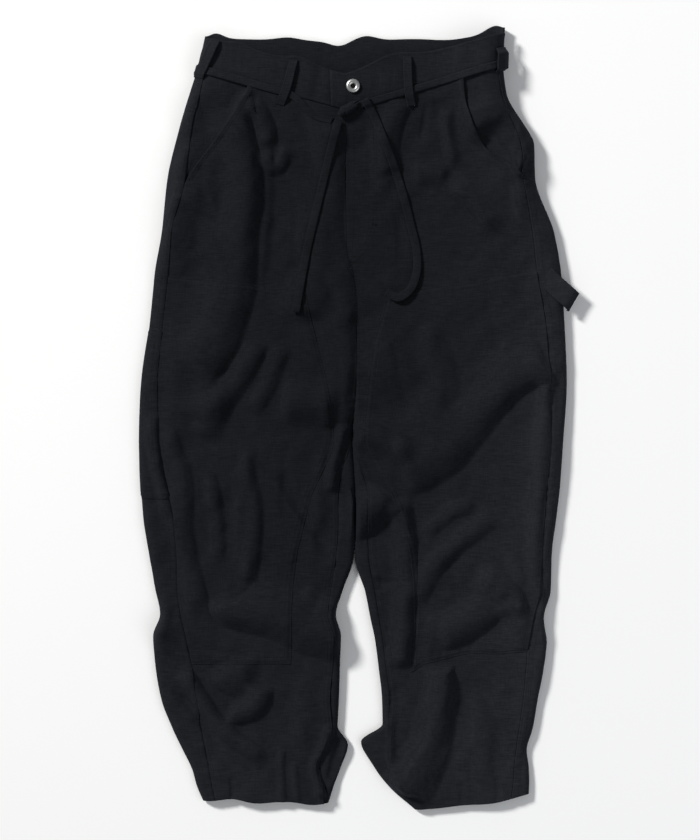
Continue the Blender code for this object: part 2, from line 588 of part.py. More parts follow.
# Fronts, knee panels, backs and pocket facings
for side, half in HALVES.items():
    rows = half.row_list("waist", "hem")
    rows = rows + np.where(np.arange(len(rows)) == 0, 0.3, 0.0)
    start = np.maximum(half.q_of(rows, "x_pocket"), half.q_of(rows, "x_seam")) + HALF_SEAM
    line = half.q_of(rows, "x_panel")
    inner_seam = HALF_SEAM * (1.0 + 1.3 * np.exp(-((rows - half.at("crotch") - 10.0) / 14.0) ** 2))
    end = half.q_of(rows, "x_inseam") - inner_seam
    f1 = np.linspace(0, 1, 9)
    f2 = np.sin(np.linspace(0, 1, 5)[1:] * math.pi / 2) * 0.35 + np.linspace(0, 1, 5)[1:] * 0.65
    q = np.concatenate([start[:, None] + (line - start)[:, None] * f1,
                        line[:, None] + (end - line)[:, None] * f2], 1)
    p, n = panel_grid(half, rows, q)
    wall("front_" + side, p, n, -CLOTH)

    first = int(np.argmin(np.abs(rows - half.at("panel_top"))))
    last = int(np.argmin(np.abs(rows - half.at("panel_bottom"))))
    kp, kn = p[first:last + 1, :9], n[first:last + 1, :9]
    wall("knee_panel_" + side, kp, kn, GAP, GAP + PANEL)

    q0 = half.q_of(rows, "x_seam") - HALF_SEAM
    k = half.roll(rows)
    wide = half.q_of(rows, "x_in")
    q1 = np.where(k > 0.999, half.q_of(rows, "x_inseam") + inner_seam - 2 * wide, -wide + HALF_SEAM)
    qb = around_back(half, rows, q0, q1)
    bp, bn = panel_grid(half, rows, qb)
    wall("back_" + side, bp, bn, -CLOTH)
    if side == "right":
        top = int(np.argmin(np.abs(rows - half.at("thigh"))))
        low = int(np.argmin(np.abs(rows - half.at("fork") - 8.0)))
        wall("tool_pocket", bp[top:low + 1, :8], bn[top:low + 1, :8], GAP, GAP + PANEL)

    frows = rows[:int(np.argmin(np.abs(rows - half.at("pocket_end")))) + 1]
    seam_q = half.q_of(frows, "x_seam") + HALF_SEAM
    mouth_q = half.q_of(frows, "x_pocket")
    end_q = mouth_q + 9.0
    fq = seam_q[:, None] + (end_q - seam_q)[:, None] * np.linspace(0, 1, 6)
    fp, fn = panel_grid(half, frows, fq)
    open_w = np.maximum(mouth_q - seam_q, 0.01)[:, None]
    across = smooth((fq - seam_q[:, None]) / np.maximum(open_w - 2.0, 1.0))
    depth = np.maximum(across, 1.0 - smooth(open_w / 14.0)) * (CLOTH + 0.5 + (2.5 if side == "left" else 0.0))
    wall("pocket_facing_" + side, fp, fn, -depth - 1.1, -depth)

# Waistband in three pieces
R, L = HALVES["right"], HALVES["left"]
band_s = np.linspace(0, 1, 5)


def band_rows(half):
    return half.at("band_top") + (half.at("waist") - 0.3 - half.at("band_top")) * band_s


def arc(q0, q1, n):
    """Columns from q0 to q1, closer together near the outer edge."""
    t = np.linspace(0, 1, n + 1)
    return q0 + (q1 - q0) * (t ** 1.7)


rows = band_rows(R)
q = arc(0.0, (352 - 205.0), 15)
q = np.broadcast_to(q, (5, 16)).copy()
q[:, 0] = 0.12
p, n = panel_grid(R, rows, q)
under = smooth((q - 108.0) / 9.0) * (BAND + 0.5)
wall("waistband_right", p, n, -BAND - under, -under)

rows = band_rows(L)
wide = L.q_of(rows, "x_in")[:, None]
q = arc(0.0, 1.0, 15)[None, :] * (wide + 15.0)
q[:, 0] = 0.12
p, n = panel_grid(L, rows, q)
wall("waistband_left", p, n, -BAND)

rr, rl = band_rows(R), band_rows(L)
tail = -arc(0.0, 1.0, 12)
qr = tail[None, :] * R.q_of(rr, "x_in")[:, None]
ql = tail[None, :] * L.q_of(rl, "x_in")[:, None]
qr[:, 0] = -0.12
ql[:, 0] = -0.12
pr, nr = panel_grid(R, rr, qr)
pl, nl = panel_grid(L, rl, ql)
p = np.concatenate([pr, pl[:, ::-1][:, 1:]], 1)
n = np.concatenate([nr, nl[:, ::-1][:, 1:]], 1)
wall("waistband_back", p, n, -BAND)


def strap(name, half, s_from, s_to, q_mid_a, q_mid_b, wide, low, thick, rise, across=3):
    """A short strap over the skin, its middle raised over what runs under it."""
    sw = half.at("waist")
    s = np.array([s_from, s_from + 3.0, s_from + 7.0, 0.5 * (s_from + 7.0 + sw - 8.0), sw - 8.0, sw - 5.0,
                  sw - 1.5, sw + 2.6, 0.5 * (sw + 2.6 + s_to), s_to])
    t = (s - s_from) / (s_to - s_from)
    mid = q_mid_a + (q_mid_b - q_mid_a) * t
    q = mid[:, None] + np.linspace(-0.5, 0.5, across)[None, :] * wide / STEP
    p, nn = panel_grid(half, s, q)
    bump = low + rise * smooth((s - s_from) / 7.0) * smooth((s_to - s) / (s_to - sw - 2.6))
    inside = np.repeat(bump[:, None], across, 1)
    return wall(name, p, nn, inside, inside + thick)


# Belt tie through the loops
TIE_SAG, SAG_FROM, SAG_LONG = 17.0, 287.0, 40.0
tie_low = GAP + 0.3
tie_s_r = R.at("waist") - 1.5
tie_s_l = L.at("waist") - 1.5


def tie_cols(half, q_end, count, s_mid):
    wide = float(half.q_of(s_mid, "x_in"))
    return block(half, s_mid, q_end, -wide, count, 24.0)


halfw = TIE_WIDE / STEP / 2
qr = tie_cols(R, 134.0, 28, tie_s_r)
ql = tie_cols(L, 146.0, 24, tie_s_l)
off = np.array([-halfw, 0, halfw])


def tie_grid(half, q, s_mid):
    x = half.skin(np.full(len(q), s_mid), q)[..., 0] / STEP + PLAN_X
    slack = TIE_SAG * smooth((x - SAG_FROM) / SAG_LONG) * (q > 0) if half is R else np.zeros(len(q))
    s = s_mid + off[:, None] + slack[None, :]
    qq = np.broadcast_to(q[None, :], s.shape)
    return half.skin(s, qq), half.normal(s, qq)


pr, nr = tie_grid(R, qr, tie_s_r)
pl, nl = tie_grid(L, ql, tie_s_l)
p = np.concatenate([pr, pl[:, ::-1][:, 1:]], 1)
n = np.concatenate([nr, nl[:, ::-1][:, 1:]], 1)
edge = np.array([0.55, 0.0, 0.55])[:, None]
ones = np.ones(p.shape[:2])
wall("tie_belt", p, n, ones * (tie_low + 0.25 * edge), ones * (tie_low + TIE_THICK - edge * 0.8), "navy_tie")

# Belt loops
over = tie_low + TIE_THICK + 0.45 - GAP
sw = R.at("waist")
strap("belt_loop_front_right", R, 4.0, sw + 12.0, 90, 87, LOOP_WIDE, GAP, LOOP_THICK, over)
strap("belt_loop_front_left", L, 4.0, sw + 15.0, 98, 93, LOOP_WIDE, GAP, LOOP_THICK, over)
strap("belt_loop_side_right", R, 1.0, sw + 7.0, 12.0, 5.0, LOOP_WIDE, GAP + 0.5, LOOP_THICK, over, 5)
strap("belt_loop_side_left", L, 16.0, sw + 5.5, 4.5, 4.5, LOOP_WIDE, GAP + 1.0, LOOP_THICK, over + 1.3, 5)

t = np.linspace(0, 1, 11)
s = 12.0 + (sw + 10.0 - 12.0) * t
wr = R.q_of(s, "x_in")
wl = L.q_of(s, "x_in")
qa = -wr[:, None] + np.array([3.5, 1.2])[None, :]
qc = -wl[:, None] + np.array([1.2, 3.5])[None, :]
pa, na = panel_grid(R, s, qa)
pc, nc = panel_grid(L, s, qc)
p = np.concatenate([pa, pc], 1)
n = np.concatenate([na, nc], 1)
bump = (GAP + over * smooth((s - 12.0) / 7.0) * smooth((sw + 10.0 - s) / 7.4))[:, None] * np.ones((11, 4))
wall("belt_loop_back", p, n, bump, bump + LOOP_THICK)


def drape(x, y):
    """Height of the top skin in mm at plan places in steps."""
    x, y = np.asarray(x, float), np.asarray(y, float)
    out = np.zeros_like(x)
    for half in (R, L):
        on = (x < 346.5) if half is R else (x >= 346.5)
        if on.any():
            s, q = half.find(x[on], y[on])
            out[on] = half.skin(s, q)[..., 2]
    return out


def curve_through(rows, n):
    """Evenly spaced places on a smooth line through table rows of x, y, lift."""
    v = np.array([r[1:] for r in rows], float)
    s = np.concatenate([[0], np.cumsum(np.hypot(np.diff(v[:, 0]), np.diff(v[:, 1])))])
    m = np.gradient(v, s, axis=0)
    t = np.linspace(0, s[-1], n)
    k = np.clip(np.searchsorted(s, t, side="right") - 1, 0, len(s) - 2)
    h = (s[k + 1] - s[k])[:, None]
    f = ((t - s[k])[:, None]) / h
    return ((1 + 2 * f) * (1 - f) ** 2 * v[k] + f * (1 - f) ** 2 * h * m[k]
            + f ** 2 * (3 - 2 * f) * v[k + 1] + f ** 2 * (f - 1) * h * m[k + 1])


TIE_END_RIGHT = (
    ("knot", 338.5, 122.5, 1.6),
    ("a", 332.5, 145, 0.8),
    ("b", 325, 175, 0.8),
    ("c", 316.5, 210, 0.8),
    ("d", 305.5, 258, 0.8),
    ("panel", 300.5, 286, 2.4),
    ("tip", 296, 313, 3.0),
)
TIE_END_LEFT = (
    ("knot", 364.5, 101.5, 4.0),
    ("a", 373.5, 117, 0.9),
    ("b", 380.5, 134, 0.8),
    ("c", 393, 165, 0.8),
    ("d", 403, 196, 0.8),
    ("e", 411, 227, 0.8),
    ("f", 416.5, 252, 1.2),
    ("g", 416, 275, 3.5),
    ("h", 409, 291, 5.5),
    ("i", 398, 298, 7.0),
    ("tip", 386, 292, 8.5),
)


def free_end(name, rows, n):
    c = curve_through(rows, n)
    d = np.gradient(c[:, :2], axis=0)
    d = d / np.linalg.norm(d, axis=1, keepdims=True)
    side = np.stack([-d[:, 1], d[:, 0]], 1)
    across = np.array([-1.0, 0.0, 1.0]) * halfw * 1.08
    x = c[:, 0][:, None] + side[:, 0][:, None] * across
    y = c[:, 1][:, None] + side[:, 1][:, None] * across
    z = drape(x, y)
    low = z.max(1, keepdims=True) * 0.5 + z * 0.5
    low = np.maximum(low, z) + c[:, 2][:, None]
    pts = np.stack([(x - PLAN_X) * STEP, (PLAN_Y - y) * STEP, low], -1)
    up = np.zeros_like(pts)
    up[..., 2] = 1.0
    edge = np.array([0.5, 0.0, 0.5])[None, :]
    ones = np.ones(pts.shape[:2])
    verts, faces = closed_sheet(pts + up * (ones * (1.9 - edge))[..., None], pts + up * (ones * edge * 0.3)[..., None])
    return add_mesh(name, verts, faces, "navy_tie")


free_end("tie_end_right", TIE_END_RIGHT, 26)
free_end("tie_end_left", TIE_END_LEFT, 30)


def ball(name, centre, radii, tilt, slot, rings=9, around=16):
    verts = [(0, 0, radii[2])]
    for i in range(1, rings):
        a = math.pi * i / rings
        for j in range(around):
            b = 2 * math.pi * j / around
            pinch = 1.0 - 0.10 * abs(math.sin(2 * b)) * math.sin(a)
            verts.append((radii[0] * math.sin(a) * math.cos(b) * pinch,
                          radii[1] * math.sin(a) * math.sin(b) * pinch, radii[2] * math.cos(a)))
    verts.append((0, 0, -radii[2]))
    faces = []
    for j in range(around):
        k = (j + 1) % around
        faces.append((0, 1 + j, 1 + k))
        base = 1 + (rings - 2) * around
        faces.append((len(verts) - 1, base + k, base + j))
        for i in range(rings - 2):
            a = 1 + i * around
            faces += [(a + j, a + j + around, a + k + around), (a + j, a + k + around, a + k)]
    c, s = math.cos(tilt), math.sin(tilt)
    verts = [(centre[0] + v[0] * c - v[1] * s, centre[1] + v[0] * s + v[1] * c, centre[2] + v[2]) for v in verts]
    return add_mesh(name, verts, faces, slot)


kx, ky = 348.5, 110.5
gx, gy = np.meshgrid(np.linspace(kx - 8, kx + 8, 13), np.linspace(ky - 3, ky + 3, 9))
gy = gy - 0.6 * (gx - kx)
ground = float(drape(gx.ravel(), gy.ravel()).max())
ball("tie_knot", ((kx - PLAN_X) * STEP, (PLAN_Y - ky) * STEP, ground + 4.85), (13.5, 5.6, 4.5), 0.56, "navy_tie")

# Button: a rolled metal ring with a sunk middle
bx, by = 353.0, 87.5
sb, qb = L.find(np.array([bx]), np.array([by]))
centre = L.skin(sb, qb)[0]
normal = L.normal(sb, qb)[0]
profile = (
    # radius, height
    (0.0, 0.9), (2.6, 0.9), (3.2, 1.1), (3.9, 2.3), (5.2, 3.1), (6.8, 2.9), (8.0, 2.0), (8.4, 1.0),
    (7.8, 0.3), (0.0, 0.3),
)
axis_x = np.cross([0.0, 1.0, 0.0], normal)
axis_x /= np.linalg.norm(axis_x)
axis_y = np.cross(normal, axis_x)
around = 28
verts = [centre + normal * (profile[0][1] + 0.3)]
for r, z in profile[1:-1]:
    for j in range(around):
        b = 2 * math.pi * j / around
        verts.append(centre + (axis_x * math.cos(b) + axis_y * math.sin(b)) * r + normal * (z + 0.3))
verts.append(centre + normal * (profile[-1][1] + 0.3))
faces = []
rings = len(profile) - 2
for j in range(around):
    k = (j + 1) % around
    faces.append((0, 1 + j, 1 + k))
    base = 1 + (rings - 1) * around
    faces.append((len(verts) - 1, base + k, base + j))
    for i in range(rings - 1):
        a = 1 + i * around
        faces += [(a + j, a + j + around, a + k + around), (a + j, a + k + around, a + k)]
add_mesh("button", verts, faces, "steel")

# Hammer loop: a strap sewn at the left side seam, folded back on itself at its outer end
LOOP_PATH = (
    # name, x, y, z
    ("seam", 545.5, 276.5, 19.0),
    ("out", 553.0, 284.5, 20.0),
    ("rise", 562.5, 293.0, 20.0),
    ("turn_top", 570.3, 299.8, 17.8),
    ("turn", 573.2, 302.5, 13.8),
    ("turn_low", 571.4, 302.0, 11.4),
)
line = curve_through(LOOP_PATH, 16)
line[:, 0] = (line[:, 0] - PLAN_X) * STEP
line[:, 1] = (PLAN_Y - line[:, 1]) * STEP
width_dir = np.array([0.50, 0.866, 0.0])
across = np.linspace(-12.5, 12.5, 4)
grid = line[:, None, :] + across[None, :, None] * width_dir
nrm = grid_normals(grid)
if nrm[0, 0, 2] < 0:
    nrm = -nrm
wall("hammer_loop", grid, nrm, -0.7, 0.7)

# Put the middle of the whole footprint on the frame's origin, resting at zero
lows = np.array([np.array([v.co for v in o.data.vertices]).min(0) for o in PARTS]).min(0)
highs = np.array([np.array([v.co for v in o.data.vertices]).max(0) for o in PARTS]).max(0)
shift = -0.5 * (lows + highs)
shift[2] = -lows[2]
print("shift", [round(float(x), 4) for x in shift], "size", [round(float(x), 2) for x in highs - lows])
total = 0
for obj in PARTS:
    for v in obj.data.vertices:
        v.co = [(a + b) * 0.001 for a, b in zip(v.co, shift)]
    total += len(obj.data.polygons)
    print(obj.name, len(obj.data.polygons))
print("triangles", total)
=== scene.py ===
"""Looks of the painter trousers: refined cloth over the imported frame, with weave, seams and stitches.

The skin of each half is worked out from the same sections and folds as the solids, then finer
creases, seam ridges and a slubby weave are added. Plan places are in steps of 1.22 mm, heights in mm.
"""
import json
import math

import bmesh
import bpy
import numpy as np
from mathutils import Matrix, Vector
from mathutils.bvhtree import BVHTree

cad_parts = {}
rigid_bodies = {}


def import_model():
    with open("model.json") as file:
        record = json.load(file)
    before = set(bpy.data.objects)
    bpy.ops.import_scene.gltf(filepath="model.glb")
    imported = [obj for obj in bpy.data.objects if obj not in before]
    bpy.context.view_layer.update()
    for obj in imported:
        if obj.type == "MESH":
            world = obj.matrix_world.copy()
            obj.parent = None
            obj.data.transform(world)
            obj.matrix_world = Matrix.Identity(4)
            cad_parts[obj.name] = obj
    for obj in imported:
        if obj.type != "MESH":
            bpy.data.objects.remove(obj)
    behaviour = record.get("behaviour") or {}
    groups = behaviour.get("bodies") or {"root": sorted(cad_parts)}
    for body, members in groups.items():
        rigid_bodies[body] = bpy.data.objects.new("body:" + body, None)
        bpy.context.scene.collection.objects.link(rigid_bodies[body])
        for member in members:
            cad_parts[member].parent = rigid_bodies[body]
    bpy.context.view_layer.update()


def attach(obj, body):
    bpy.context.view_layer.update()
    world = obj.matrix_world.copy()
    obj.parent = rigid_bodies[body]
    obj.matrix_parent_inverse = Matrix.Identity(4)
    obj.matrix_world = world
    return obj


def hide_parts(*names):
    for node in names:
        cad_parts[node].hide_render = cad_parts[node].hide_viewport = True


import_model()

STEP = 1.22
PLAN_X = 359.5
PLAN_Y = 419.5
SHIFT = (0.8936, -2.2884)
CLOTH = 1.4
PANEL = 0.9
GAP = 0.35
BAND = 2.2
HALF_SEAM = 0.03 / STEP
TIE_WIDE = 9.2
TIE_THICK = 2.0
LOOP_WIDE = 10.4
LOOP_THICK = 1.2
CELL = 2.0
FINE = 0.8
MIDDLE = 55
HEM_DEEP = 33.0
LEGS_PRESS = 0.55
LEAST = 5.8
SOFT_GAIN, SOFT_WIDE = 1.25, 1.15
CRISP_GAIN, CRISP_WIDE = 1.05, 1.2
CREST_PLACES = 48
# Heights of the outer and inner edges as shares of their sections, and how round the edges are
EDGE_SHARE, INNER_SHARE, EDGE_ROUND = 0.42, 0.46, 1.05
TOP_ROUND, TOP_ROUND_LEAST = 0.95, 9.0
INNER_ROUND, INNER_ROUND_LEAST = 0.62, 6.5
LEAST_SOFT = 1.2
CLOSED = 0.999
MARGIN = 9.0
FINE_COLUMNS = int(round(MARGIN / FINE))
RAYS_FROM = 200.0
FAR = 400.0
TOOL_COLUMNS = 36
BEND_WEIGHT = 8.0
MM = 0.001

COLUMNS = ("y_side", "y_front", "y_back", "x_out", "x_seam", "x_pocket", "x_panel", "x_inseam",
           "x_in", "side", "mid", "inner")

# Sections of the wearer's right half, from the waistband's top edge to the hem
RIGHT = (
    ("band_top", 38, 76, 42, 205, 221, 221, 285, 345, 345, 25, 23, 27),
    ("waist", 71, 112, 80, 197, 206, 248, 283, 346, 346, 24, 20, 25),
    ("seat", 96, 132, 104, 189, 200, 238, 284, 346, 346, 22, 17, 20),
    ("hip", 126, 150, 132, 180, 193, 222, 287, 346, 346, 21, 15, 16),
    ("pocket_end", 182, 194, 186, 167, 186, 187, 296, 346, 346, 20, 14, 14),
    ("upper", 230, 245, 240, 162, 173, 173, 301, 347, 347, 18, 13, 13),
    ("panel_top", 272, 299, 298, 155, 169, 169, 306, 356, 356, 17, 12, 12),
    ("thigh", 330, 345, 345, 149, 163, 163, 317, 357, 357, 16, 11, 12),
    ("mid", 382, 390, 390, 142, 158, 158, 328, 356, 356, 16, 11, 12),
    ("crotch", 430, 440, 440, 140, 159, 159, 334, 352, 352, 16, 11, 13),
    ("below", 456, 468, 468, 140, 161, 161, 325, 343, 353.3, 15, 11, 13),
    ("fork", 490, 496, 496, 141, 168, 168, 312, 338, 354.6, 15, 11, 13),
    ("inner1", 522, 527, 527, 144, 175, 175, 304, 338, 354.4, 15, 11, 13),
    ("inner2", 553, 557, 557, 149, 177, 177, 297, 336, 353.2, 14, 11, 12),
    ("inner3", 588, 590, 590, 155, 178, 178, 293, 331, 343, 14, 11, 12),
    ("pinch", 614, 615, 615, 160, 181, 181, 292, 328, 336, 15, 11, 13),
    ("knee", 636, 636, 636, 153, 186, 186, 292, 334, 341, 16, 11, 14),
    ("panel_bottom", 664, 664, 664, 155, 192, 192, 291, 333, 340, 14, 11, 13),
    ("calf", 699, 699, 699, 161, 197, 197, 290, 330, 339, 13, 10.5, 12),
    ("shin", 728, 726, 726, 172, 201, 201, 290, 332, 337.5, 12, 10.5, 11),
    ("cuff1", 749, 745, 745, 182, 205, 205, 289, 328, 348, 11, 10.5, 11),
    ("cuff2", 770, 767, 767, 192, 209, 209, 289, 320, 341, 11, 10.5, 10),
    ("cuff3", 787, 785, 785, 197, 212, 212, 288, 322, 334, 11, 10.5, 10),
    ("hem", 801, 802, 802, 203, 215, 215, 287, 324, 328, 11, 10.5, 9),
)

# Sections of the wearer's left half
LEFT = (
    ("band_top", 34, 76, 42, 505, 493, 493, 400, 345, 345, 32, 24, 27),
    ("waist", 66, 112, 80, 503, 497, 463, 402, 346, 346, 31, 22, 25),
    ("seat", 93, 132, 104, 506, 501, 465, 400, 346, 346, 28, 19, 20),
    ("hip", 145, 150, 132, 534, 520, 483, 392, 346, 346, 26, 17, 16),
    ("pocket_end", 178, 190, 186, 535, 523, 523, 389, 346, 346, 24, 15, 14),
    ("upper", 232, 245, 240, 554, 532, 532, 387, 347, 347, 20, 14, 13),
    ("panel_top", 265, 299, 298, 560, 536, 536, 386, 356, 356, 18, 13, 12),
    ("thigh", 330, 345, 345, 565, 546, 546, 373, 357, 357, 17, 12, 12),
    ("mid", 382, 390, 390, 567, 549, 549, 367, 356, 356, 17, 12, 12),
    ("crotch", 432, 440, 440, 564, 549, 549, 363, 352, 352, 16, 11, 13),
    ("below", 457, 468, 468, 562, 548, 548, 375, 361, 354.3, 16, 11, 13),
    ("fork", 492, 496, 496, 559.5, 546, 546, 391, 368, 355.6, 15, 11, 13),
    ("inner1", 522, 527, 527, 556, 544, 544, 402, 368, 355.4, 15, 11, 13),
    ("inner2", 553, 557, 557, 552, 541, 541, 410, 369, 355.2, 14, 11, 12),
    ("inner3", 590, 591, 591, 551, 540, 540, 413, 375, 365, 14, 11, 12),
    ("pinch", 618, 616, 616, 544, 533, 533, 414, 379, 370, 15, 11, 12),
    ("knee", 642, 640, 640, 547, 529, 529, 412, 383, 375, 16, 11, 13),
    ("panel_bottom", 655, 667, 667, 546, 527, 527, 410, 386, 378.5, 15, 11, 13),
    ("calf", 699, 700, 700, 538, 523, 523, 410, 390, 382, 13, 10.5, 12),
    ("shin", 728, 724, 724, 533, 519, 519, 410, 388, 382.5, 12, 10.5, 11),
    ("cuff1", 750, 742, 742, 527, 516, 516, 411, 387, 361, 11, 10.5, 11),
    ("cuff2", 767, 767, 767, 529, 514, 514, 412, 388, 374, 11, 10.5, 10),
    ("cuff3", 780, 789, 789, 529.5, 513, 513, 413, 398, 391, 11, 10.5, 10),
    ("hem", 793, 809, 809, 529, 511, 511, 425, 420, 415, 11, 10.5, 9),
)

# Folds: a bent line in plan through three places, its width on the upper left and lower right of it,
# its height (a hollow is below zero) and how much of each end fades away
FOLDS = (
    # name, x1, y1, x2, y2, x3, y3, width_a, width_b, height, fade
    ("r_thigh_hollow", 272, 150, 276, 220, 262, 310, 9, 24, -3, 0.3),
    ("r_top_hollow", 236, 130, 242, 104, 258, 97, 10, 22, 6, 0.3),
    ("r_hip_hollow", 170, 142, 178, 114, 202, 98, 12, 30, 8, 0.3),
    ("r_hip_patch", 186, 214, 200, 196, 224, 190, 20, 34, 5, 0.3),
    ("r_hip_shade", 168, 280, 178, 200, 196, 132, 14, 40, 8, 0.3),
    ("r_tip_patch", 300, 326, 306, 296, 330, 278, 26, 30, 8, 0.3),
    ("r_dent", 278, 402, 306, 404, 342, 406, 26, 24, 13, 0.25),
    ("r_blob", 190, 420, 206, 402, 232, 396, 22, 28, 5, 0.3),
    ("r_knee_shade", 150, 652, 158, 632, 172, 612, 8, 26, 6, 0.25),
    ("r_shin_in", 214, 690, 230, 674, 262, 668, 14, 30, 7, 0.3),
    ("l_hip_dent", 410, 174, 430, 172, 452, 178, 14, 18, 5, 0.25),
    ("l_hip_diagonal", 500, 240, 474, 206, 442, 180, 12, 24, 9, 0.3),
    ("l_facing_hollow", 467, 92, 472, 122, 488, 146, 14, 42, 13, 0.4),
    ("l_crotch_dent", 350, 432, 380, 438, 414, 462, 22, 20, 11, 0.25),
    ("l_thigh_in", 360, 388, 384, 366, 412, 346, 40, 44, 6, 0.35),
    ("l_thigh_low", 416, 440, 426, 412, 446, 392, 26, 30, 6, 0.3),
    ("l_knee_band", 424, 624, 452, 622, 490, 598, 16, 30, 4, 0.2),
    ("r_rise_puff", 306, 170, 316, 250, 318, 345, 24, 18, 3.5, 0.4),
    ("r_outer_ridge", 184, 300, 174, 390, 186, 480, 16, 18, 3, 0.3),
    ("r_leg_slant", 279, 470, 300, 508, 333, 556, 8, 10, -4, 0.2),
    ("r_leg_ridge", 240, 450, 242, 520, 244, 600, 10, 10, 2.5, 0.3),
    ("r_inner_ridge", 322, 440, 318, 500, 312, 570, 9, 12, 3, 0.3),
    ("r_knee_bulge", 170, 596, 159, 620, 160, 645, 12, 12, 4, 0.3),
    ("r_shin_slant", 172, 684, 200, 716, 224, 750, 9, 10, -3.5, 0.25),
    ("r_shin_ridge", 300, 670, 304, 720, 300, 775, 15, 15, 3, 0.3),
    ("r_cuff_hollow", 340, 735, 336, 756, 329, 786, 6, 10, -4, 0.2),
    ("l_pleat_ridge", 446, 104, 448, 138, 457, 172, 8, 9, 4, 0.25),
    ("l_fly_ridge", 383, 120, 380, 160, 384, 215, 10, 13, 3, 0.3),
    ("l_hip_ridge", 512, 140, 518, 180, 520, 240, 9, 12, 4, 0.3),
    ("l_facing_ridge", 522, 104, 521, 124, 517, 146, 6, 6, 3, 0.3),
    ("l_thigh_ridge", 424, 330, 432, 375, 440, 420, 14, 12, 3, 0.35),
    ("l_knee_ridge", 512, 545, 520, 600, 512, 680, 12, 14, 3, 0.35),
    ("l_knee_puff", 470, 575, 490, 585, 505, 602, 18, 20, 3, 0.25),
    ("l_knee_bulge", 550, 602, 544, 622, 547, 645, 9, 9, 4, 0.3),
    ("l_shin_ridge", 474, 690, 484, 745, 486, 800, 14, 18, 3, 0.3),
)

# Crisp folds: the places run along the foot of a steep flank, the crest lies to the right of a walker
# in the picture going down it, width_1 and width_2 away at its two ends, and falls away over far_width
CRISP = (
    # name, height, width_1, width_2, far_width, fade, places x, y
    ("r_thigh", 13.5, 13, 20, 38, 0.1,
     (248, 100, 257, 140, 263, 170, 264, 199, 259, 232, 258, 262, 256, 293, 247, 327, 238, 352,
      221, 377, 206, 396)),
    ("r_pleat", 7, 8, 9, 12, 0.2, (258, 92, 268, 108, 277, 128, 278, 152)),
    ("r_pouch", 7.5, 9, 9, 8, 0.2, (297, 142, 293, 160, 283, 175, 270, 177, 261, 168, 253, 150)),
    ("r_slant_a", 6.5, 7, 17, 14, 0.12,
     (270, 344, 260, 365, 250, 385, 238, 402, 229, 415, 225, 428, 218, 448)),
    ("r_slant_b", 5, 9, 9, 10, 0.2, (294, 343, 287, 365, 279, 387, 268, 405, 254, 420)),
    ("r_rise", 6.5, 15, 8, 24, 0.06,
     (345, 118, 346, 180, 345, 236, 352, 266, 356, 290, 357, 325, 355, 370, 352, 404, 350, 434)),
    ("r_wedge", 8, 7, 6, 8, 0.15, (353, 424, 347, 446, 341, 466, 338, 496)),
    ("r_side", 5, 5, 5, 8, 0.15, (158, 410, 161, 450, 168, 488, 176, 522)),
    ("r_long", 6.5, 9, 11, 16, 0.12,
     (171, 412, 187, 454, 194, 482, 194, 518, 200, 560, 208, 595, 214, 618)),
    ("r_arc", 15, 30, 9, 30, 0.1,
     (340, 668, 318, 659, 296, 652, 279, 642, 262, 636, 248, 633, 234, 630, 222, 625, 213, 616, 207, 598)),
    ("r_line_b", 5, 7, 7, 9, 0.25, (214, 462, 221, 494, 226, 520, 226, 566)),
    ("r_line_c", 6.5, 7, 9, 10, 0.15, (260, 440, 256, 470, 263, 500, 264, 523, 261, 557, 256, 596)),
    ("r_inner_c", 5, 9, 9, 10, 0.2, (340, 626, 320, 612, 296, 598)),
    ("r_shin_u", 10, 13, 12, 14, 0.1,
     (275, 684, 274, 698, 269, 709, 260, 718, 247, 724, 234, 726, 222, 721)),
    ("r_shin_side", 9, 6, 7, 14, 0.15,
     (186, 660, 198, 676, 208, 692, 219, 708, 231, 722, 246, 734, 262, 745, 276, 754)),
    ("r_hem_a", 2.6, 4, 4, 6, 0.15, (287, 746, 286, 768, 288, 806)),
    ("r_hem_b", 2.5, 4, 4, 5, 0.2, (297, 760, 300, 779, 302, 806)),
    ("r_cuff", 6, 5, 4, 7, 0.12, (338, 724, 328, 750, 320, 768, 324, 784, 328, 800)),
    ("l_pleat", 5.5, 9, 14, 14, 0.15, (415, 104, 404, 131, 400.5, 150, 405, 174)),
    ("l_crease", 6, 12, 12, 12, 0.2, (438, 316, 446, 338, 453, 354, 459, 378, 461, 406)),
    ("l_big", 12, 13, 27, 36, 0.08,
     (556, 380, 524, 394, 504, 416, 484, 443, 467, 464, 446, 482, 426, 492, 404, 499)),
    ("l_crotch", 16, 18, 26, 20, 0.1, (406, 503, 392, 521, 378, 533, 364, 540, 346, 541)),
    ("l_gully", 10, 10, 10, 14, 0.08, (410, 494, 415, 520, 417, 556, 417, 594, 415, 628, 411, 672)),
    ("l_slant_a", 4.5, 8, 8, 9, 0.25, (477, 516, 459, 517, 444, 529, 426, 544)),
    ("l_slant_b", 5.5, 10, 10, 13, 0.15, (507, 520, 486, 536, 470, 548, 450, 565, 436, 584, 424, 612)),
    ("l_side", 4.5, 6, 7, 10, 0.1, (555, 366, 552, 400, 547, 470, 542, 530, 541, 562, 547, 606)),
    ("l_knee_arc", 10, 9, 9, 26, 0.2, (478, 562, 498, 567, 513, 578, 524, 594, 530, 618)),
    ("l_knee_low", 9, 14, 16, 20, 0.2, (508, 612, 493, 626, 474, 640, 454, 649, 438, 652)),
    ("l_wedge", 14, 7, 32, 20, 0.05, (454, 664, 456, 690, 455, 719, 452, 755, 443, 779, 430, 808)),
    ("l_cuff", 3.5, 3, 3, 9, 0.1, (412, 802, 396, 787, 388, 768, 386, 751, 385, 714)),
    ("l_hip_side", 3, 6, 6, 6, 0.3, (532, 150, 526, 168, 520, 186)),
)

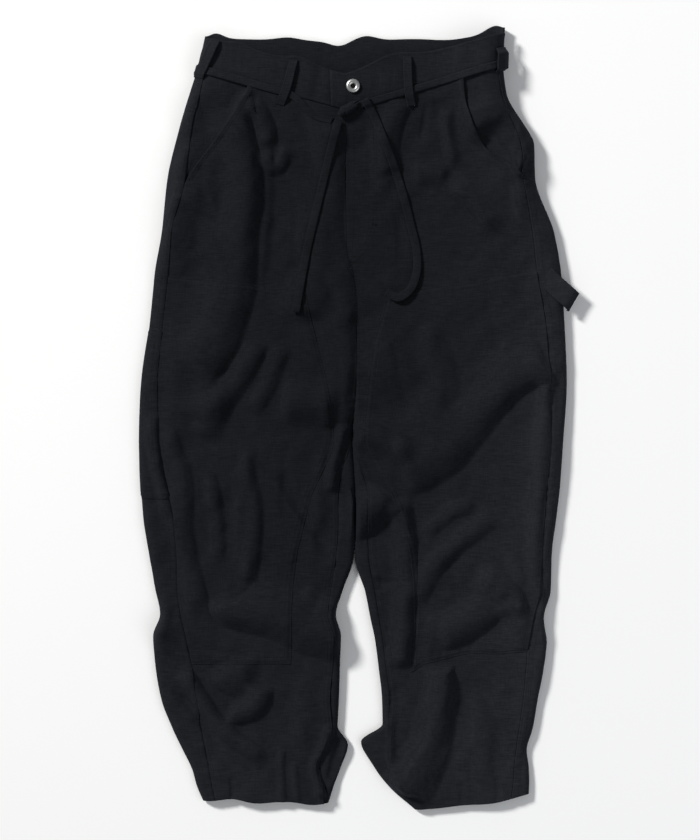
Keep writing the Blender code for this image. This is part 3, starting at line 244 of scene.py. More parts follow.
# Where something lies under the back, the back is lifted off the surface
LIFTS = (
    # name, x1, y1, x2, y2, height, fade
    ("tie_under_waist", 150, 50, 560, 92, 4.5, 34),
    ("tool_pocket", 120, 330, 200, 506, 1.6, 26),
)

WAVES = (
    # name, x, depth, half_width of the scallops in the back waistband's top edge
    ("side_right", 216, 5, 10),
    ("quarter_right", 288, 3, 16),
    ("centre_right", 338, -4, 12),
    ("centre_left", 366, 5, 14),
    ("quarter_left", 448, -3, 24),
    ("side_left", 496, 9, 14),
)

FRONT_WAVES = (
    # name, x, depth, half_width of the waves in the front waistband's top edge
    ("side_right", 240, 3.5, 12),
    ("loop_right", 300, 5.5, 16),
    ("loop_left", 392, 8, 26),
)

BENDS = (
    # name, x, y, half_width, half_height, depth of local dips of the rows
    ("hem_right_a", 234, 801, 16, 16, -2.5),
    ("hem_right_b", 256, 801, 16, 16, 2.0),
    ("hem_right_c", 312, 801, 14, 16, 3.0),
    ("hem_left_a", 492, 800, 30, 20, 5.0),
    ("hem_left_b", 440, 806, 26, 20, 2.5),
    ("panel_left_a", 472, 660, 30, 14, -7.0),
    ("panel_left_b", 411, 664, 9, 12, 7.0),
    ("panel_left_c", 522, 656, 22, 14, -5.0),
    ("panel_left_top", 468, 279, 22, 13, 2.5),
    ("panel_right", 176, 272, 26, 14, 2.0),
)


def bezier(row, n=26):
    """Plan places on the curve through the three places of a row."""
    t = np.linspace(0.0, 1.0, n)[:, None]
    a = np.array([row[1], row[2]], float)
    c = np.array([row[5], row[6]], float)
    b = 2.0 * np.array([row[3], row[4]], float) - 0.5 * (a + c)
    return (1 - t) ** 2 * a + 2 * t * (1 - t) * b + t ** 2 * c


def smooth(x):
    """Soft step from 0 to 1."""
    x = np.clip(x, 0.0, 1.0)
    return x * x * (3.0 - 2.0 * x)


def within(x, y, line, reach):
    """Which plan places lie in the box round a line, grown by reach."""
    low, high = line[:, :2].min(0) - reach, line[:, :2].max(0) + reach
    return (x > low[0]) & (x < high[0]) & (y > low[1]) & (y < high[1])


def faded(along, fade):
    """1 along the middle of a fold, falling to 0 over its share fade at both ends."""
    return smooth(along / fade) * smooth((1.0 - along) / fade)


def fold_height(x, y, folds=FOLDS, wide=SOFT_WIDE):
    """Sum of the folds over plan positions x, y in steps."""
    total = np.zeros_like(x, dtype=float)
    for row in folds:
        line = bezier(row)
        w_a, w_b, height, fade = row[7:11]
        w_a, w_b = w_a * wide, w_b * wide
        near = within(x, y, line, max(w_a, w_b))
        if not near.any():
            continue
        px, py = x[near], y[near]
        dist, turn, along = nearest(px, py, line)
        chord = line[-1] - line[0]
        side = turn * (-1.0 if 0.6 * chord[0] < chord[1] else 1.0)
        blend = smooth(0.5 + side / 4.0)
        width = w_a + (w_b - w_a) * blend
        shape = 0.5 + 0.5 * np.cos(math.pi * np.clip(dist / width, 0.0, 1.0))
        total[near] += height * shape * faded(along, fade)
    return total


def lengths(v):
    """Distance along a line of places up to each of them."""
    return np.concatenate([[0], np.cumsum(np.linalg.norm(np.diff(v, axis=0), axis=1))])


def hump(v, at, wide):
    """1 where v is at the place, falling to 0 either side."""
    return np.exp(-((v - at) / wide) ** 2)


def between(v0, v1, m0, m1, h, f):
    """Smooth curve from v0 to v1 with slopes m0 and m1 over a distance h, at shares f of it."""
    return ((1 + 2 * f) * (1 - f) ** 2 * v0 + f * (1 - f) ** 2 * h * m0
            + f ** 2 * (3 - 2 * f) * v1 + f ** 2 * (f - 1) * h * m1)


def rounded(v, n):
    """Evenly spaced places on a smooth line through the rows of v, whose first columns are x, y."""
    v = np.array(v, float)
    s = lengths(v[:, :2])
    m = np.gradient(v, s, axis=0)
    t = np.linspace(0, s[-1], n)
    k = np.clip(np.searchsorted(s, t, side="right") - 1, 0, len(s) - 2)
    h = (s[k + 1] - s[k])[:, None]
    return between(v[k], v[k + 1], m[k], m[k + 1], h, (t - s[k])[:, None] / h)


def nearest(x, y, line):
    """Distance to a line, the side of it and how far along it, for plan places in steps."""
    a, b = line[:-1], line[1:]
    ab = b - a
    vx = x[:, None] - a[:, 0]
    vy = y[:, None] - a[:, 1]
    t = np.clip((vx * ab[:, 0] + vy * ab[:, 1]) / (ab ** 2).sum(1), 0.0, 1.0)
    dx = vx - t * ab[:, 0]
    dy = vy - t * ab[:, 1]
    d2 = dx ** 2 + dy ** 2
    k = d2.argmin(1)
    i = np.arange(len(x))
    side = (dy[i, k] * ab[k, 0] - dx[i, k] * ab[k, 1]) / np.linalg.norm(ab[k], axis=1)
    return np.sqrt(d2[i, k]), side, (k + t[i, k]) / len(ab)


def crisp_height(x, y):
    """Sum of the crisp folds over plan positions x, y in steps."""
    total = np.zeros_like(x, dtype=float)
    for name, height, width_1, width_2, far, fade, places in CRISP:
        line = rounded(np.array(places, float).reshape(-1, 2), CREST_PLACES)
        width_1, width_2, far = width_1 * CRISP_WIDE, width_2 * CRISP_WIDE, far * CRISP_WIDE
        near = within(x, y, line, max(width_1, width_2) + far)
        if not near.any():
            continue
        dist, side, along = nearest(x[near], y[near], line)
        width = width_1 + (width_2 - width_1) * along
        flank = np.sin(0.5 * math.pi * np.clip(dist / width, 0, 1))
        past = 0.5 + 0.5 * np.cos(math.pi * np.clip((dist - width) / far, 0, 1))
        crest = np.where(side > 0, np.where(dist < width, flank, past), 0.0)
        total[near] += height * crest * faded(along, fade)
    return total


def lift_height(x, y):
    """How far the underside is held off the floor, in mm."""
    total = np.zeros_like(x, dtype=float)
    for name, x1, y1, x2, y2, height, fade in LIFTS:
        out = np.hypot(np.maximum(np.maximum(x1 - x, x - x2), 0), np.maximum(np.maximum(y1 - y, y - y2), 0))
        total = np.maximum(total, height * (1.0 - smooth(out / fade)))
    return total


def slopes(s, v):
    """Slopes of a smooth curve through table values that never overshoots them."""
    h = np.diff(s)[:, None]
    d = np.diff(v, axis=0) / h
    m = np.zeros_like(v)
    same = d[:-1] * d[1:] > 0
    w1 = 2 * h[1:] + h[:-1]
    w2 = h[1:] + 2 * h[:-1]
    with np.errstate(divide="ignore", invalid="ignore"):
        mean = (w1 + w2) / (w1 / d[:-1] + w2 / d[1:])
    m[1:-1] = np.where(same, mean, 0.0)
    m[0] = d[0]
    m[-1] = d[-1]
    return m


def scallop(x, waves):
    """How far a waistband's top edge is raised at plan places x, in steps."""
    total = np.zeros_like(x)
    for name, cx, depth, half in waves:
        total = total + depth * hump(x, cx, half)
    return total


def bend_of(x, y, bends):
    """How far rows are pushed down locally, in steps."""
    total = np.zeros_like(x)
    for name, cx, cy, wide, tall, depth in bends:
        total = total + depth * hump(x, cx, wide) * hump(y, cy, tall)
    return total


class Half:
    """One half of the trousers: its sections and the skin over them."""

    def __init__(self, table, sign):
        self.sign = sign
        self.names = [row[0] for row in table]
        self.v = np.array([row[1:] for row in table], float)
        mean_y = self.v[:, 0:3].mean(1)
        self.s = mean_y - mean_y[0]
        self.m = slopes(self.s, self.v)

    def at(self, name):
        return float(self.s[self.names.index(name)])

    def cols(self, s):
        """Table values at distances s down the half, one array for each column."""
        s = np.asarray(s, float)
        k = np.clip(np.searchsorted(self.s, s, side="right") - 1, 0, len(self.s) - 2)
        h = self.s[k + 1] - self.s[k]
        t = ((s - self.s[k]) / h)[..., None]
        h = h[..., None]
        low = t < 0
        high = t > 1
        tc = np.clip(t, 0, 1)
        v0, v1, m0, m1 = self.v[k], self.v[k + 1], self.m[k], self.m[k + 1]
        out = between(v0, v1, m0, m1, h, tc)
        out = out + np.where(low, t * h * m0, 0) + np.where(high, (t - 1) * h * m1, 0)
        return {name: out[..., i] for i, name in enumerate(COLUMNS)}

    def roll(self, s):
        """0 where the two halves are one torso, 1 where the leg closes on its inner edge."""
        return smooth((s - self.at("thigh")) / (self.at("crotch") - self.at("thigh")))

    def skin(self, s, q):
        """Points of the outer skin in mm. q runs from the outer edge, above zero on the top side
        and below zero on the floor side, in steps."""
        s, q = np.broadcast_arrays(np.asarray(s, float), np.asarray(q, float))
        c = self.cols(s)
        k = self.roll(s)
        wide = self.wide(s)
        closed = k > CLOSED
        past_floor = (q < -wide) & closed
        past_top = (q > wide) & closed
        q = np.where(past_floor, q + 2 * wide, np.where(past_top, q - 2 * wide, q))
        top = q >= 0
        a = np.abs(q)
        u = a / wide
        x = c["x_out"] + self.sign * a
        y_in = np.where(top, c["y_front"], c["y_back"])
        back = np.where(u > 1, 2 - u, u)
        y = c["y_side"] + (y_in - c["y_side"]) * back
        wave = np.where(top, scallop(x, FRONT_WAVES), scallop(x, WAVES))
        y = y - wave * (1.0 - smooth(s / 30.0))
        y = y + bend_of(x, y, BENDS)
        uu = np.clip(u, 0, 1)
        first = smooth((uu - 0.08) / 0.36)
        second = smooth((uu - 0.5) / 0.42)
        base = c["side"] + (c["mid"] - c["side"]) * first + (c["inner"] - c["mid"]) * second
        h = base + fold_height(x, y) * SOFT_GAIN + crisp_height(x, y) * CRISP_GAIN
        h = LEAST + np.logaddexp(0.0, (h - LEAST) / LEAST_SOFT) * LEAST_SOFT
        floor = lift_height(x, y)
        z_sil = np.maximum(EDGE_SHARE * c["side"], floor + 4.0)
        z_in_sil = INNER_SHARE * c["inner"] + floor * 0.5
        r_top = np.maximum(c["side"] * TOP_ROUND, TOP_ROUND_LEAST) / STEP
        r_low = z_sil * EDGE_ROUND / STEP
        some = np.maximum(k, 0.02)
        r_in = np.maximum(c["inner"] * INNER_ROUND, INNER_ROUND_LEAST) / STEP * some
        r_in_low = z_in_sil / STEP * some

        def arch(d, r):
            g = 1.0 - np.clip(d / r, 0.0, 1.0)
            return np.sqrt(np.maximum(1.0 - g * g, 0.0))

        d_in = np.maximum(wide - a, 0.0)
        z_top = z_sil + (h - z_sil) * arch(a, r_top)
        drop = (h - z_in_sil) * k
        z_top = z_top - drop * (1.0 - arch(d_in, r_in))
        z_low = floor + (z_sil - floor) * (1.0 - arch(a, r_low))
        z_low = z_low + (z_in_sil - floor) * k * (1.0 - arch(d_in, r_in_low))
        z = np.where(top, z_top, z_low)
        return np.stack([*mm_of(x, y), z], -1)

    def normal(self, s, q):
        """Directions square to the skin, to the outside of the cloth."""
        s, q = np.broadcast_arrays(np.asarray(s, float), np.asarray(q, float))
        e = 1.1
        k = self.roll(s)
        wide = self.wide(s)
        hi = np.where((k < CLOSED) & (q <= wide) & (q + e > wide), wide, q + e)
        lo = np.where((k < CLOSED) & (q >= -wide) & (q - e < -wide), -wide, q - e)
        du = self.skin(s, hi) - self.skin(s, lo)
        dv = self.skin(s + e, q * self.wide(s + e) / wide) - self.skin(s - e, q * self.wide(s - e) / wide)
        n = np.cross(dv, du) * self.sign
        return n / np.maximum(np.linalg.norm(n, axis=-1, keepdims=True), 1e-9)

    def q_of(self, s, column):
        """Steps from the outer edge to a column of the table."""
        c = self.cols(s)
        return np.abs(c[column] - c["x_out"])

    def wide(self, s):
        """Steps from the outer edge to the inner edge or the middle of the torso."""
        return self.q_of(s, "x_in")

    def find(self, x, y):
        """Distance down the half and q of the top skin at plan place x, y in steps."""
        lo, hi = np.full(np.shape(x), -20.0), np.full(np.shape(x), float(self.s[-1]) + 10.0)
        x, y = np.asarray(x, float), np.asarray(y, float)
        for _ in range(30):
            s = 0.5 * (lo + hi)
            c = self.cols(s)
            u = np.abs(x - c["x_out"]) / self.wide(s)
            u = np.where(u > 1, 2 - u, u)
            yy = c["y_side"] + (c["y_front"] - c["y_side"]) * u
            lo = np.where(yy < y, s, lo)
            hi = np.where(yy < y, hi, s)
        return s, (x - self.cols(s)["x_out"]) * self.sign


def block(half, s, q_from, q_to, count, bend=BEND_WEIGHT):
    """q of evenly spread columns between two places on one row, closer together where it bends."""
    wide = float(half.wide(s))
    near = np.linspace(-1, 1, 61)
    near = np.sign(near) * near * near * 14
    q = np.concatenate([np.linspace(q_from, q_to, 160), near, near - wide])
    lo, hi = min(q_from, q_to), max(q_from, q_to)
    q = np.unique(np.concatenate([q[(q > lo) & (q < hi)], [lo, hi]]))
    if q_from > q_to:
        q = q[::-1]
    p = half.skin(s, q)[:, [0, 2]]
    d = np.diff(p, axis=0)
    length = np.hypot(d[:, 0], d[:, 1])
    angle = np.unwrap(np.arctan2(d[:, 1], d[:, 0]))
    turn = np.abs(np.diff(angle, prepend=angle[0]))
    w = np.concatenate([[0], np.cumsum(length + bend * turn)])
    return np.interp(np.linspace(0, w[-1], count + 1), w, q)


def around_back(half, rows, q_start, q_end, outer, floor, inner):
    """Columns of a back: outer roll, floor and inner roll each keep their own columns."""
    out = []
    for i, s in enumerate(rows):
        c = half.cols(s)
        k = float(half.roll(s))
        wide = float(half.wide(s))
        edge = -(EDGE_SHARE * float(c["side"]) * EDGE_ROUND / STEP + 3.0)
        foot = -wide + 30.0 * (1.0 - k) + (INNER_SHARE * float(c["inner"]) / STEP + 1.0) * k
        first = block(half, s, float(q_start[i]), edge, outer)
        last = block(half, s, foot, float(q_end[i]), inner)
        middle = np.linspace(edge, foot, floor + 1)[1:-1]
        out.append(np.concatenate([first, middle, last]))
    return np.array(out)


def grid_normals(p):
    """Directions square to a grid of places."""
    dv = np.gradient(p, axis=0)
    du = np.gradient(p, axis=1)
    n = np.cross(dv, du)
    return n / np.maximum(np.linalg.norm(n, axis=-1, keepdims=True), 1e-9)


# Finer creases that only the looks carry, in the same columns as the folds
CREASES = (
    ("r_waist_a", 232, 98, 236, 118, 244, 140, 5, 6, -1.2, 0.3),
    ("r_waist_b", 300, 108, 304, 128, 312, 152, 6, 6, -1.4, 0.3),
    ("r_hip_b", 292, 190, 296, 230, 290, 280, 7, 8, -1.2, 0.3),
    ("r_thigh_a", 190, 300, 206, 322, 226, 330, 7, 8, -1.2, 0.3),
    ("r_thigh_d", 236, 440, 240, 470, 238, 505, 5, 6, -1.2, 0.3),
    ("r_thigh_e", 288, 440, 284, 480, 282, 530, 6, 7, -1.2, 0.3),
    ("r_knee_a", 212, 560, 240, 580, 280, 584, 7, 8, -1.2, 0.3),
    ("r_knee_b", 190, 640, 212, 650, 240, 652, 5, 6, -1.2, 0.3),
    ("r_shin_b", 262, 730, 272, 752, 290, 762, 6, 6, -1.2, 0.3),
    ("r_shin_c", 300, 700, 308, 730, 322, 746, 6, 7, -1.2, 0.3),
    ("r_hem_c", 230, 775, 232, 790, 231, 806, 4, 5, -1.8, 0.2),
    ("l_waist_a", 370, 108, 366, 130, 364, 165, 5, 6, -1.2, 0.3),
    ("l_waist_b", 428, 98, 424, 122, 420, 150, 5, 6, -1.2, 0.3),
    ("l_hip_a", 396, 210, 400, 240, 398, 280, 7, 8, -1.2, 0.3),
    ("l_hip_c", 430, 240, 455, 256, 490, 262, 7, 8, -1.2, 0.3),
    ("l_thigh_a", 392, 330, 398, 370, 410, 420, 7, 8, -1.4, 0.3),
    ("l_thigh_b", 480, 300, 494, 330, 500, 365, 8, 9, -1.4, 0.3),
    ("l_leg_a", 495, 450, 508, 470, 535, 478, 7, 8, -1.2, 0.3),
    ("l_leg_b", 440, 560, 452, 575, 456, 600, 6, 7, -1.0, 0.3),
    ("l_knee_a", 366, 576, 384, 582, 400, 578, 5, 6, -1.6, 0.3),
    ("l_shin_a", 476, 672, 486, 700, 500, 722, 7, 7, -1.2, 0.3),
    ("l_shin_c", 488, 740, 498, 756, 520, 762, 6, 7, -1.2, 0.3),
    ("l_hem_a", 460, 780, 462, 794, 460, 808, 5, 6, -1.2, 0.2),
    ("l_hem_b", 496, 775, 498, 788, 497, 804, 5, 6, -1.2, 0.2),
)


def value_noise(x, y, seed):
    """Smooth seeded noise between -1 and 1, one lump for each unit of x and y."""
    xi, yi = np.floor(x).astype(int), np.floor(y).astype(int)
    fx, fy = smooth(x - xi), smooth(y - yi)

    def corner(a, b):
        h = np.sin(a * 127.1 + b * 311.7 + seed * 74.7) * 43758.5453
        return 2.0 * (h - np.floor(h)) - 1.0

    low = corner(xi, yi) * (1 - fx) + corner(xi + 1, yi) * fx
    high = corner(xi, yi + 1) * (1 - fx) + corner(xi + 1, yi + 1) * fx
    return low * (1 - fy) + high * fy


def crumple(x, y):
    """Small uneven relief of linen creased by long use, in mm, over plan places in steps."""
    drift = 3.0 * value_noise(x / 60.0, y / 60.0, 3)
    big = value_noise(x / 30.0 + 0.3 * drift, y / 40.0, 1)
    slant = value_noise((x + 0.8 * y) / 17.0, (y - 0.5 * x) / 46.0 + 0.2 * drift, 5)
    mid = value_noise(x / 10.0, y / 14.0 + 0.2 * drift, 7)
    small = value_noise(x / 4.6, y / 4.0, 11)
    return 1.7 * big + 1.0 * slant + 0.6 * mid + 0.16 * small


def grid_of(half, rows, q, carry=1.0):
    """Skin points of a dense grid with creases and crumple added, and their outward directions."""
    s = np.broadcast_to(np.asarray(rows)[:, None], q.shape)
    p = half.skin(s, q)
    x, y = plan_of(p)
    n = facing(half, s, q, p)
    top = smooth((n[..., 2] + 0.1) / 0.5)
    wide = half.wide(s)
    near_tie = 1.0 - 0.7 * hump(s, half.at("waist"), 9.0)
    inner_edge = wide * half.roll(s) + FAR * (1 - half.roll(s))
    off_edge = smooth(np.abs(q) / 9.0) * smooth((inner_edge - np.abs(q)) / 7.0)
    relief = (fold_height(x, y, CREASES, 1.0) * off_edge + crumple(x, y) * (0.35 + 0.65 * off_edge)) * carry
    p = p + n * (relief * top * near_tie)[..., None]
    return p, facing(half, s, q, p)


def facing(half, s, q, p):
    """Directions square to a dense grid, turned to the outside of the cloth."""
    n = grid_normals(p)
    i = p.shape[0] // 2
    same = (n[i] * half.normal(s[i], q[i])).sum()
    return n if same > 0 else -n


def plan_of(p):
    """Plan places in steps of points in mm, as x and y."""
    return p[..., 0] / STEP + PLAN_X, PLAN_Y - p[..., 1] / STEP


def mm_of(x, y):
    """Plan millimetres of plan places in steps, as x and y."""
    return (x - PLAN_X) * STEP, (PLAN_Y - y) * STEP


def closed_sheet(top, bottom):
    """Vertices and quads of a closed wall between two grids of the same shape."""
    rows, cols = top.shape[:2]
    count = rows * cols
    verts = np.concatenate([top.reshape(-1, 3), bottom.reshape(-1, 3)])
    idx = np.arange(count).reshape(rows, cols)
    a, b, c, d = idx[:-1, :-1].ravel(), idx[:-1, 1:].ravel(), idx[1:, 1:].ravel(), idx[1:, :-1].ravel()
    upper = np.stack([a, d, c, b], 1)
    lower = np.stack([a, b, c, d], 1) + count
    edge = np.concatenate([idx[0, :], idx[1:, -1], idx[-1, -2::-1], idx[-2:0:-1, 0]])
    nxt = np.roll(edge, -1)
    side = np.stack([edge, nxt, nxt + count, edge + count], 1)
    return verts, np.concatenate([upper, lower, side])


def to_frame(verts):
    """Plan millimetres to the frame's metres."""
    return (np.asarray(verts, float) + np.array([*SHIFT, 0.0])) * MM


def placed(name, data):
    """A new object of the scene."""
    obj = bpy.data.objects.new(name, data)
    bpy.context.scene.collection.objects.link(obj)
    return obj


def mesh_piece(name, verts, faces, mat, slot_name, *nodes):
    """A smooth visible piece from places in plan mm, standing for the named nodes."""
    mesh = bpy.data.meshes.new(name)
    mesh.from_pydata(to_frame(verts).tolist(), [], [tuple(int(i) for i in f) for f in faces])
    work = bmesh.new()
    work.from_mesh(mesh)
    bmesh.ops.recalc_face_normals(work, faces=work.faces)
    work.to_mesh(mesh)
    work.free()
    mesh.materials.append(mat)
    for poly in mesh.polygons:
        poly.use_smooth = True
    obj = placed(name, mesh)
    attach(obj, "root")
    if nodes:
        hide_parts(*nodes)
    return obj


def wall(name, top, bottom, mat):
    """The cloth of the named node between two grids, put in place of that node, which is hidden."""
    verts, faces = closed_sheet(top, bottom)
    obj = mesh_piece(name + "_cloth", verts, faces, mat, "navy_tie" if mat is TIE_MAT else "navy_cloth", name)


def cloth_wall(name, p, n, inside, outside, mat=None):
    """The cloth of the named node between two distances from the skin."""
    inside = np.broadcast_to(np.asarray(inside, float), p.shape[:2])
    outside = np.broadcast_to(np.asarray(outside, float), p.shape[:2])
    wall(name, p + n * outside[..., None], p + n * inside[..., None], mat or CLOTH_MAT)


def felled(d, along, lines, width, rise, seed):
    """Relief of a sewn down seam in mm: a flat ridge with a sunk row under each line of stitches and
    small puckers. d is the distance from the edge and along the distance down the seam, in steps."""
    pucker = value_noise(along / 4.2, d * 0 + seed, seed)
    ridge = rise * (1.0 - smooth((d - width) / 1.8)) * (1.0 + 0.5 * pucker)
    sunk = sum(hump(d, line, 0.75) for line in lines)
    drawn = 0.45 * pucker * np.exp(-np.abs(d - width) / 4.5)
    return (ridge - 0.42 * sunk + drawn) * (d >= 0)


def columns(start, end, count, fine_a=True):
    """q of columns across every row, close together beside the seam at the end and at the start too."""
    width = end - start
    m = np.minimum(MARGIN, 0.3 * width)
    t = np.linspace(0, 1, FINE_COLUMNS + 1)
    a = start + (m if fine_a else 0.0)
    b = end - m
    parts = [start[:, None] + m[:, None] * t[:-1]] if fine_a else []
    parts.append(a[:, None] + (b - a)[:, None] * np.linspace(0, 1, count + 1))
    parts.append(b[:, None] + m[:, None] * t[1:])
    return np.concatenate(parts, 1)


# Materials
def node(tree, kind, inputs=None, **values):
    """A new node with its inputs and settings."""
    made = tree.nodes.new(kind)
    for key, value in values.items():
        setattr(made, key, value)
    given(made, inputs or {})
    return made


def given(shader, inputs):
    """Sets the values of a node's inputs by name."""
    for key, value in inputs.items():
        shader.inputs[key].default_value = value


def new_material(name):
    """A material with its tree and its surface node."""
    mat = bpy.data.materials.new(name)
    mat.use_nodes = True
    return mat, mat.node_tree, mat.node_tree.nodes["Principled BSDF"]


# Painted light and shade: the cloth's colour is scaled up from a darker least towards the hems, the outer
# edges and the band
PAINTED_LIGHT_LEAST = 0.72
PAINTED_LIGHT = (
    # source, from, to, gain of the cloth painted paler as painted light
    ("slant", 0.0, 0.42, 0.50), ("up", 0.18, 0.42, 0.10), ("up", 0.385, 0.41, 0.16),
    ("sides", 0.06, 0.24, 0.24), ("across", -0.05, 0.26, 0.20), ("across", 0.19, 0.24, 0.42),
)


def weave_material(name, dark, light, slub=1.0, rough=0.9, sheen=0.03):
    """Navy linen: long uneven slubs across the cloth, finer threads down it, soft fuzz on top, and painted
    light and shade over the whole garment.
    """
    mat, tree, shader = new_material(name)
    link = tree.links.new
    place = node(tree, "ShaderNodeTexCoord")

    def noise(scale_x, scale_y, detail):
        mapping = node(tree, "ShaderNodeMapping", {"Scale": (scale_x, scale_y, 300.0)})
        link(place.outputs["Object"], mapping.inputs["Vector"])
        made = node(tree, "ShaderNodeTexNoise", {"Scale": 1.0, "Detail": detail, "Roughness": 0.6})
        link(mapping.outputs["Vector"], made.inputs["Vector"])
        return made.outputs["Fac"]

    def mix(a, b, amount):
        made = node(tree, "ShaderNodeMix", {"Factor": amount}, data_type="FLOAT")
        link(a, made.inputs["A"])
        link(b, made.inputs["B"])
        return made.outputs["Result"]

    slubs = noise(70.0, 950.0, 2.0)
    warp = noise(1100.0, 110.0, 1.0)
    patch = noise(9.0, 9.0, 3.0)
    threads = mix(slubs, warp, 0.33)
    shade = mix(threads, patch, 0.22)
    ramp = node(tree, "ShaderNodeValToRGB")
    for element, position, colour in zip(ramp.color_ramp.elements, (0.30, 0.72), (dark, light)):
        element.position, element.color = position, (*colour, 1.0)
    link(shade, ramp.inputs["Fac"])

    def spread(value, low, high, gain):
        made = node(tree, "ShaderNodeMapRange",
                    {"From Min": low, "From Max": high, "To Min": 0.0, "To Max": gain})
        link(value, made.inputs["Value"])
        return made.outputs["Result"]

    def maths(operation, a, b=None, number=0.0):
        made = node(tree, "ShaderNodeMath", operation=operation)
        link(a, made.inputs[0])
        made.inputs[1].default_value = number
        if b is not None:
            link(b, made.inputs[1])
        return made.outputs["Value"]

    # Painted light: paler towards the hems, the side seams and the band, where more light falls, darker
    # elsewhere
    split = node(tree, "ShaderNodeSeparateXYZ")
    link(place.outputs["Object"], split.inputs["Vector"])
    across, up = split.outputs["X"], split.outputs["Y"]
    slant = maths("SUBTRACT", maths("MULTIPLY", across, number=0.6), maths("MULTIPLY", up, number=0.8))
    sources = {"slant": slant, "up": up, "across": across, "sides": maths("ABSOLUTE", across)}
    tone = None
    for source, low, high, gain in PAINTED_LIGHT:
        part = spread(sources[source], low, high, gain)
        tone = maths("ADD", part, number=PAINTED_LIGHT_LEAST) if tone is None else maths("ADD", tone, part)
    # Painted light: the weave's colour scaled by the painted light tone
    painted_light_scale = node(tree, "ShaderNodeVectorMath", operation="SCALE")
    link(ramp.outputs["Color"], painted_light_scale.inputs[0])
    link(tone, painted_light_scale.inputs["Scale"])
    link(painted_light_scale.outputs["Vector"], shader.inputs["Base Color"])
    bump = node(tree, "ShaderNodeBump", {"Strength": 0.55 * slub, "Distance": 0.0006})
    link(threads, bump.inputs["Height"])
    link(bump.outputs["Normal"], shader.inputs["Normal"])
    given(shader, {"Roughness": rough, "Specular IOR Level": 0.04, "Sheen Weight": sheen,
                   "Sheen Roughness": 0.55, "Sheen Tint": (0.62, 0.72, 1.0, 1.0)})
    return mat


def metal_material():
    """Dull steel with fine marks."""
    mat, tree, shader = new_material("button_steel")
    place = node(tree, "ShaderNodeTexCoord")
    noise = node(tree, "ShaderNodeTexNoise", {"Scale": 900.0, "Detail": 3.0})
    tree.links.new(place.outputs["Object"], noise.inputs["Vector"])
    ramp = node(tree, "ShaderNodeValToRGB")
    ramp.color_ramp.elements[0].color = (0.36, 0.36, 0.36, 1.0)
    ramp.color_ramp.elements[1].color = (0.66, 0.66, 0.64, 1.0)
    tree.links.new(noise.outputs["Fac"], ramp.inputs["Fac"])
    tree.links.new(ramp.outputs["Color"], shader.inputs["Base Color"])
    bump = node(tree, "ShaderNodeBump", {"Strength": 0.2, "Distance": 0.0002})
    tree.links.new(noise.outputs["Fac"], bump.inputs["Height"])
    tree.links.new(bump.outputs["Normal"], shader.inputs["Normal"])
    given(shader, {"Metallic": 1.0, "Roughness": 0.36})
    return mat


NAVY = (0.0049, 0.0053, 0.0064)
CLOTH_MAT = weave_material("navy_linen", NAVY, (0.0144, 0.0156, 0.0187))
BACK_MAT = weave_material("navy_linen_back", NAVY, (0.0142, 0.0154, 0.0185))
TIE_MAT = weave_material("navy_tape", NAVY, (0.0144, 0.0156, 0.0186), 0.8)
THREAD_MAT = weave_material("navy_thread", (0.0056, 0.0062, 0.0075), (0.0146, 0.0158, 0.0186), 0.3, 0.85)
STEEL = metal_material()
# Painted shade: a dark material for the disc inside the button's hollow
HOLLOW_SHADE_MAT = weave_material("button_hollow_painted_shade", (0.004, 0.004, 0.0045), (0.010, 0.010, 0.011), 0.3, 0.6, 0.0)

HALVES = {"right": Half(RIGHT, 1.0), "left": Half(LEFT, -1.0)}
for HALF in HALVES.values():
    # Between the crotch and the gap the two legs press against each other
    for NAME in ("below", "fork", "inner1", "inner2"):
        HALF.v[HALF.names.index(NAME), COLUMNS.index("x_in")] += LEGS_PRESS * HALF.sign
    HALF.m = slopes(HALF.s, HALF.v)
R, L = HALVES["right"], HALVES["left"]
MAIN = ("waist", "pocket_end", "panel_top", "crotch", "panel_bottom", "hem")


def dense_rows(half, names, fine=()):
    """Distances down the half from section to section, close together within the fine stretches."""
    rows = [half.at(names[0])]
    for a, b in zip(names[:-1], names[1:]):
        marks = [half.at(a), half.at(b)]
        for mark, before, after in fine:
            marks += [v for v in (half.at(mark) - before, half.at(mark) + after) if marks[0] < v < marks[1]]
        marks = sorted(set(marks))
        for low, high in zip(marks[:-1], marks[1:]):
            middle = 0.5 * (low + high)
            close = any(half.at(m) - u <= middle <= half.at(m) + v for m, u, v in fine)
            n = max(2, int(round((high - low) / (FINE if close else CELL))))
            rows += list(np.linspace(low, high, n + 1)[1:])
    return np.array(rows)


# Stretches with rows close together: section, steps before it, steps after it
SEAMS = (("waist", 0.0, 4.0), ("panel_top", 0.0, 10.0), ("panel_bottom", 10.0, 0.0), ("hem", 35.5, -30.0),
         ("hem", 3.0, 0.0))


def row_at(rows, s):
    """Index of the row nearest to the distance s."""
    return int(np.argmin(np.abs(rows - s)))


def inner_gap(half, rows):
    """Half of the gap between front and back at the inner seam, a little wider at the crotch."""
    return HALF_SEAM * (1.0 + 1.6 * hump(rows, half.at("crotch") + 10.0, 14.0))


def hem_relief(half, along, q, seed):
    """The line of the turned up hem."""
    return felled(half.at("hem") - along, q, (HEM_DEEP,), HEM_DEEP + 0.4, 0.3, seed)


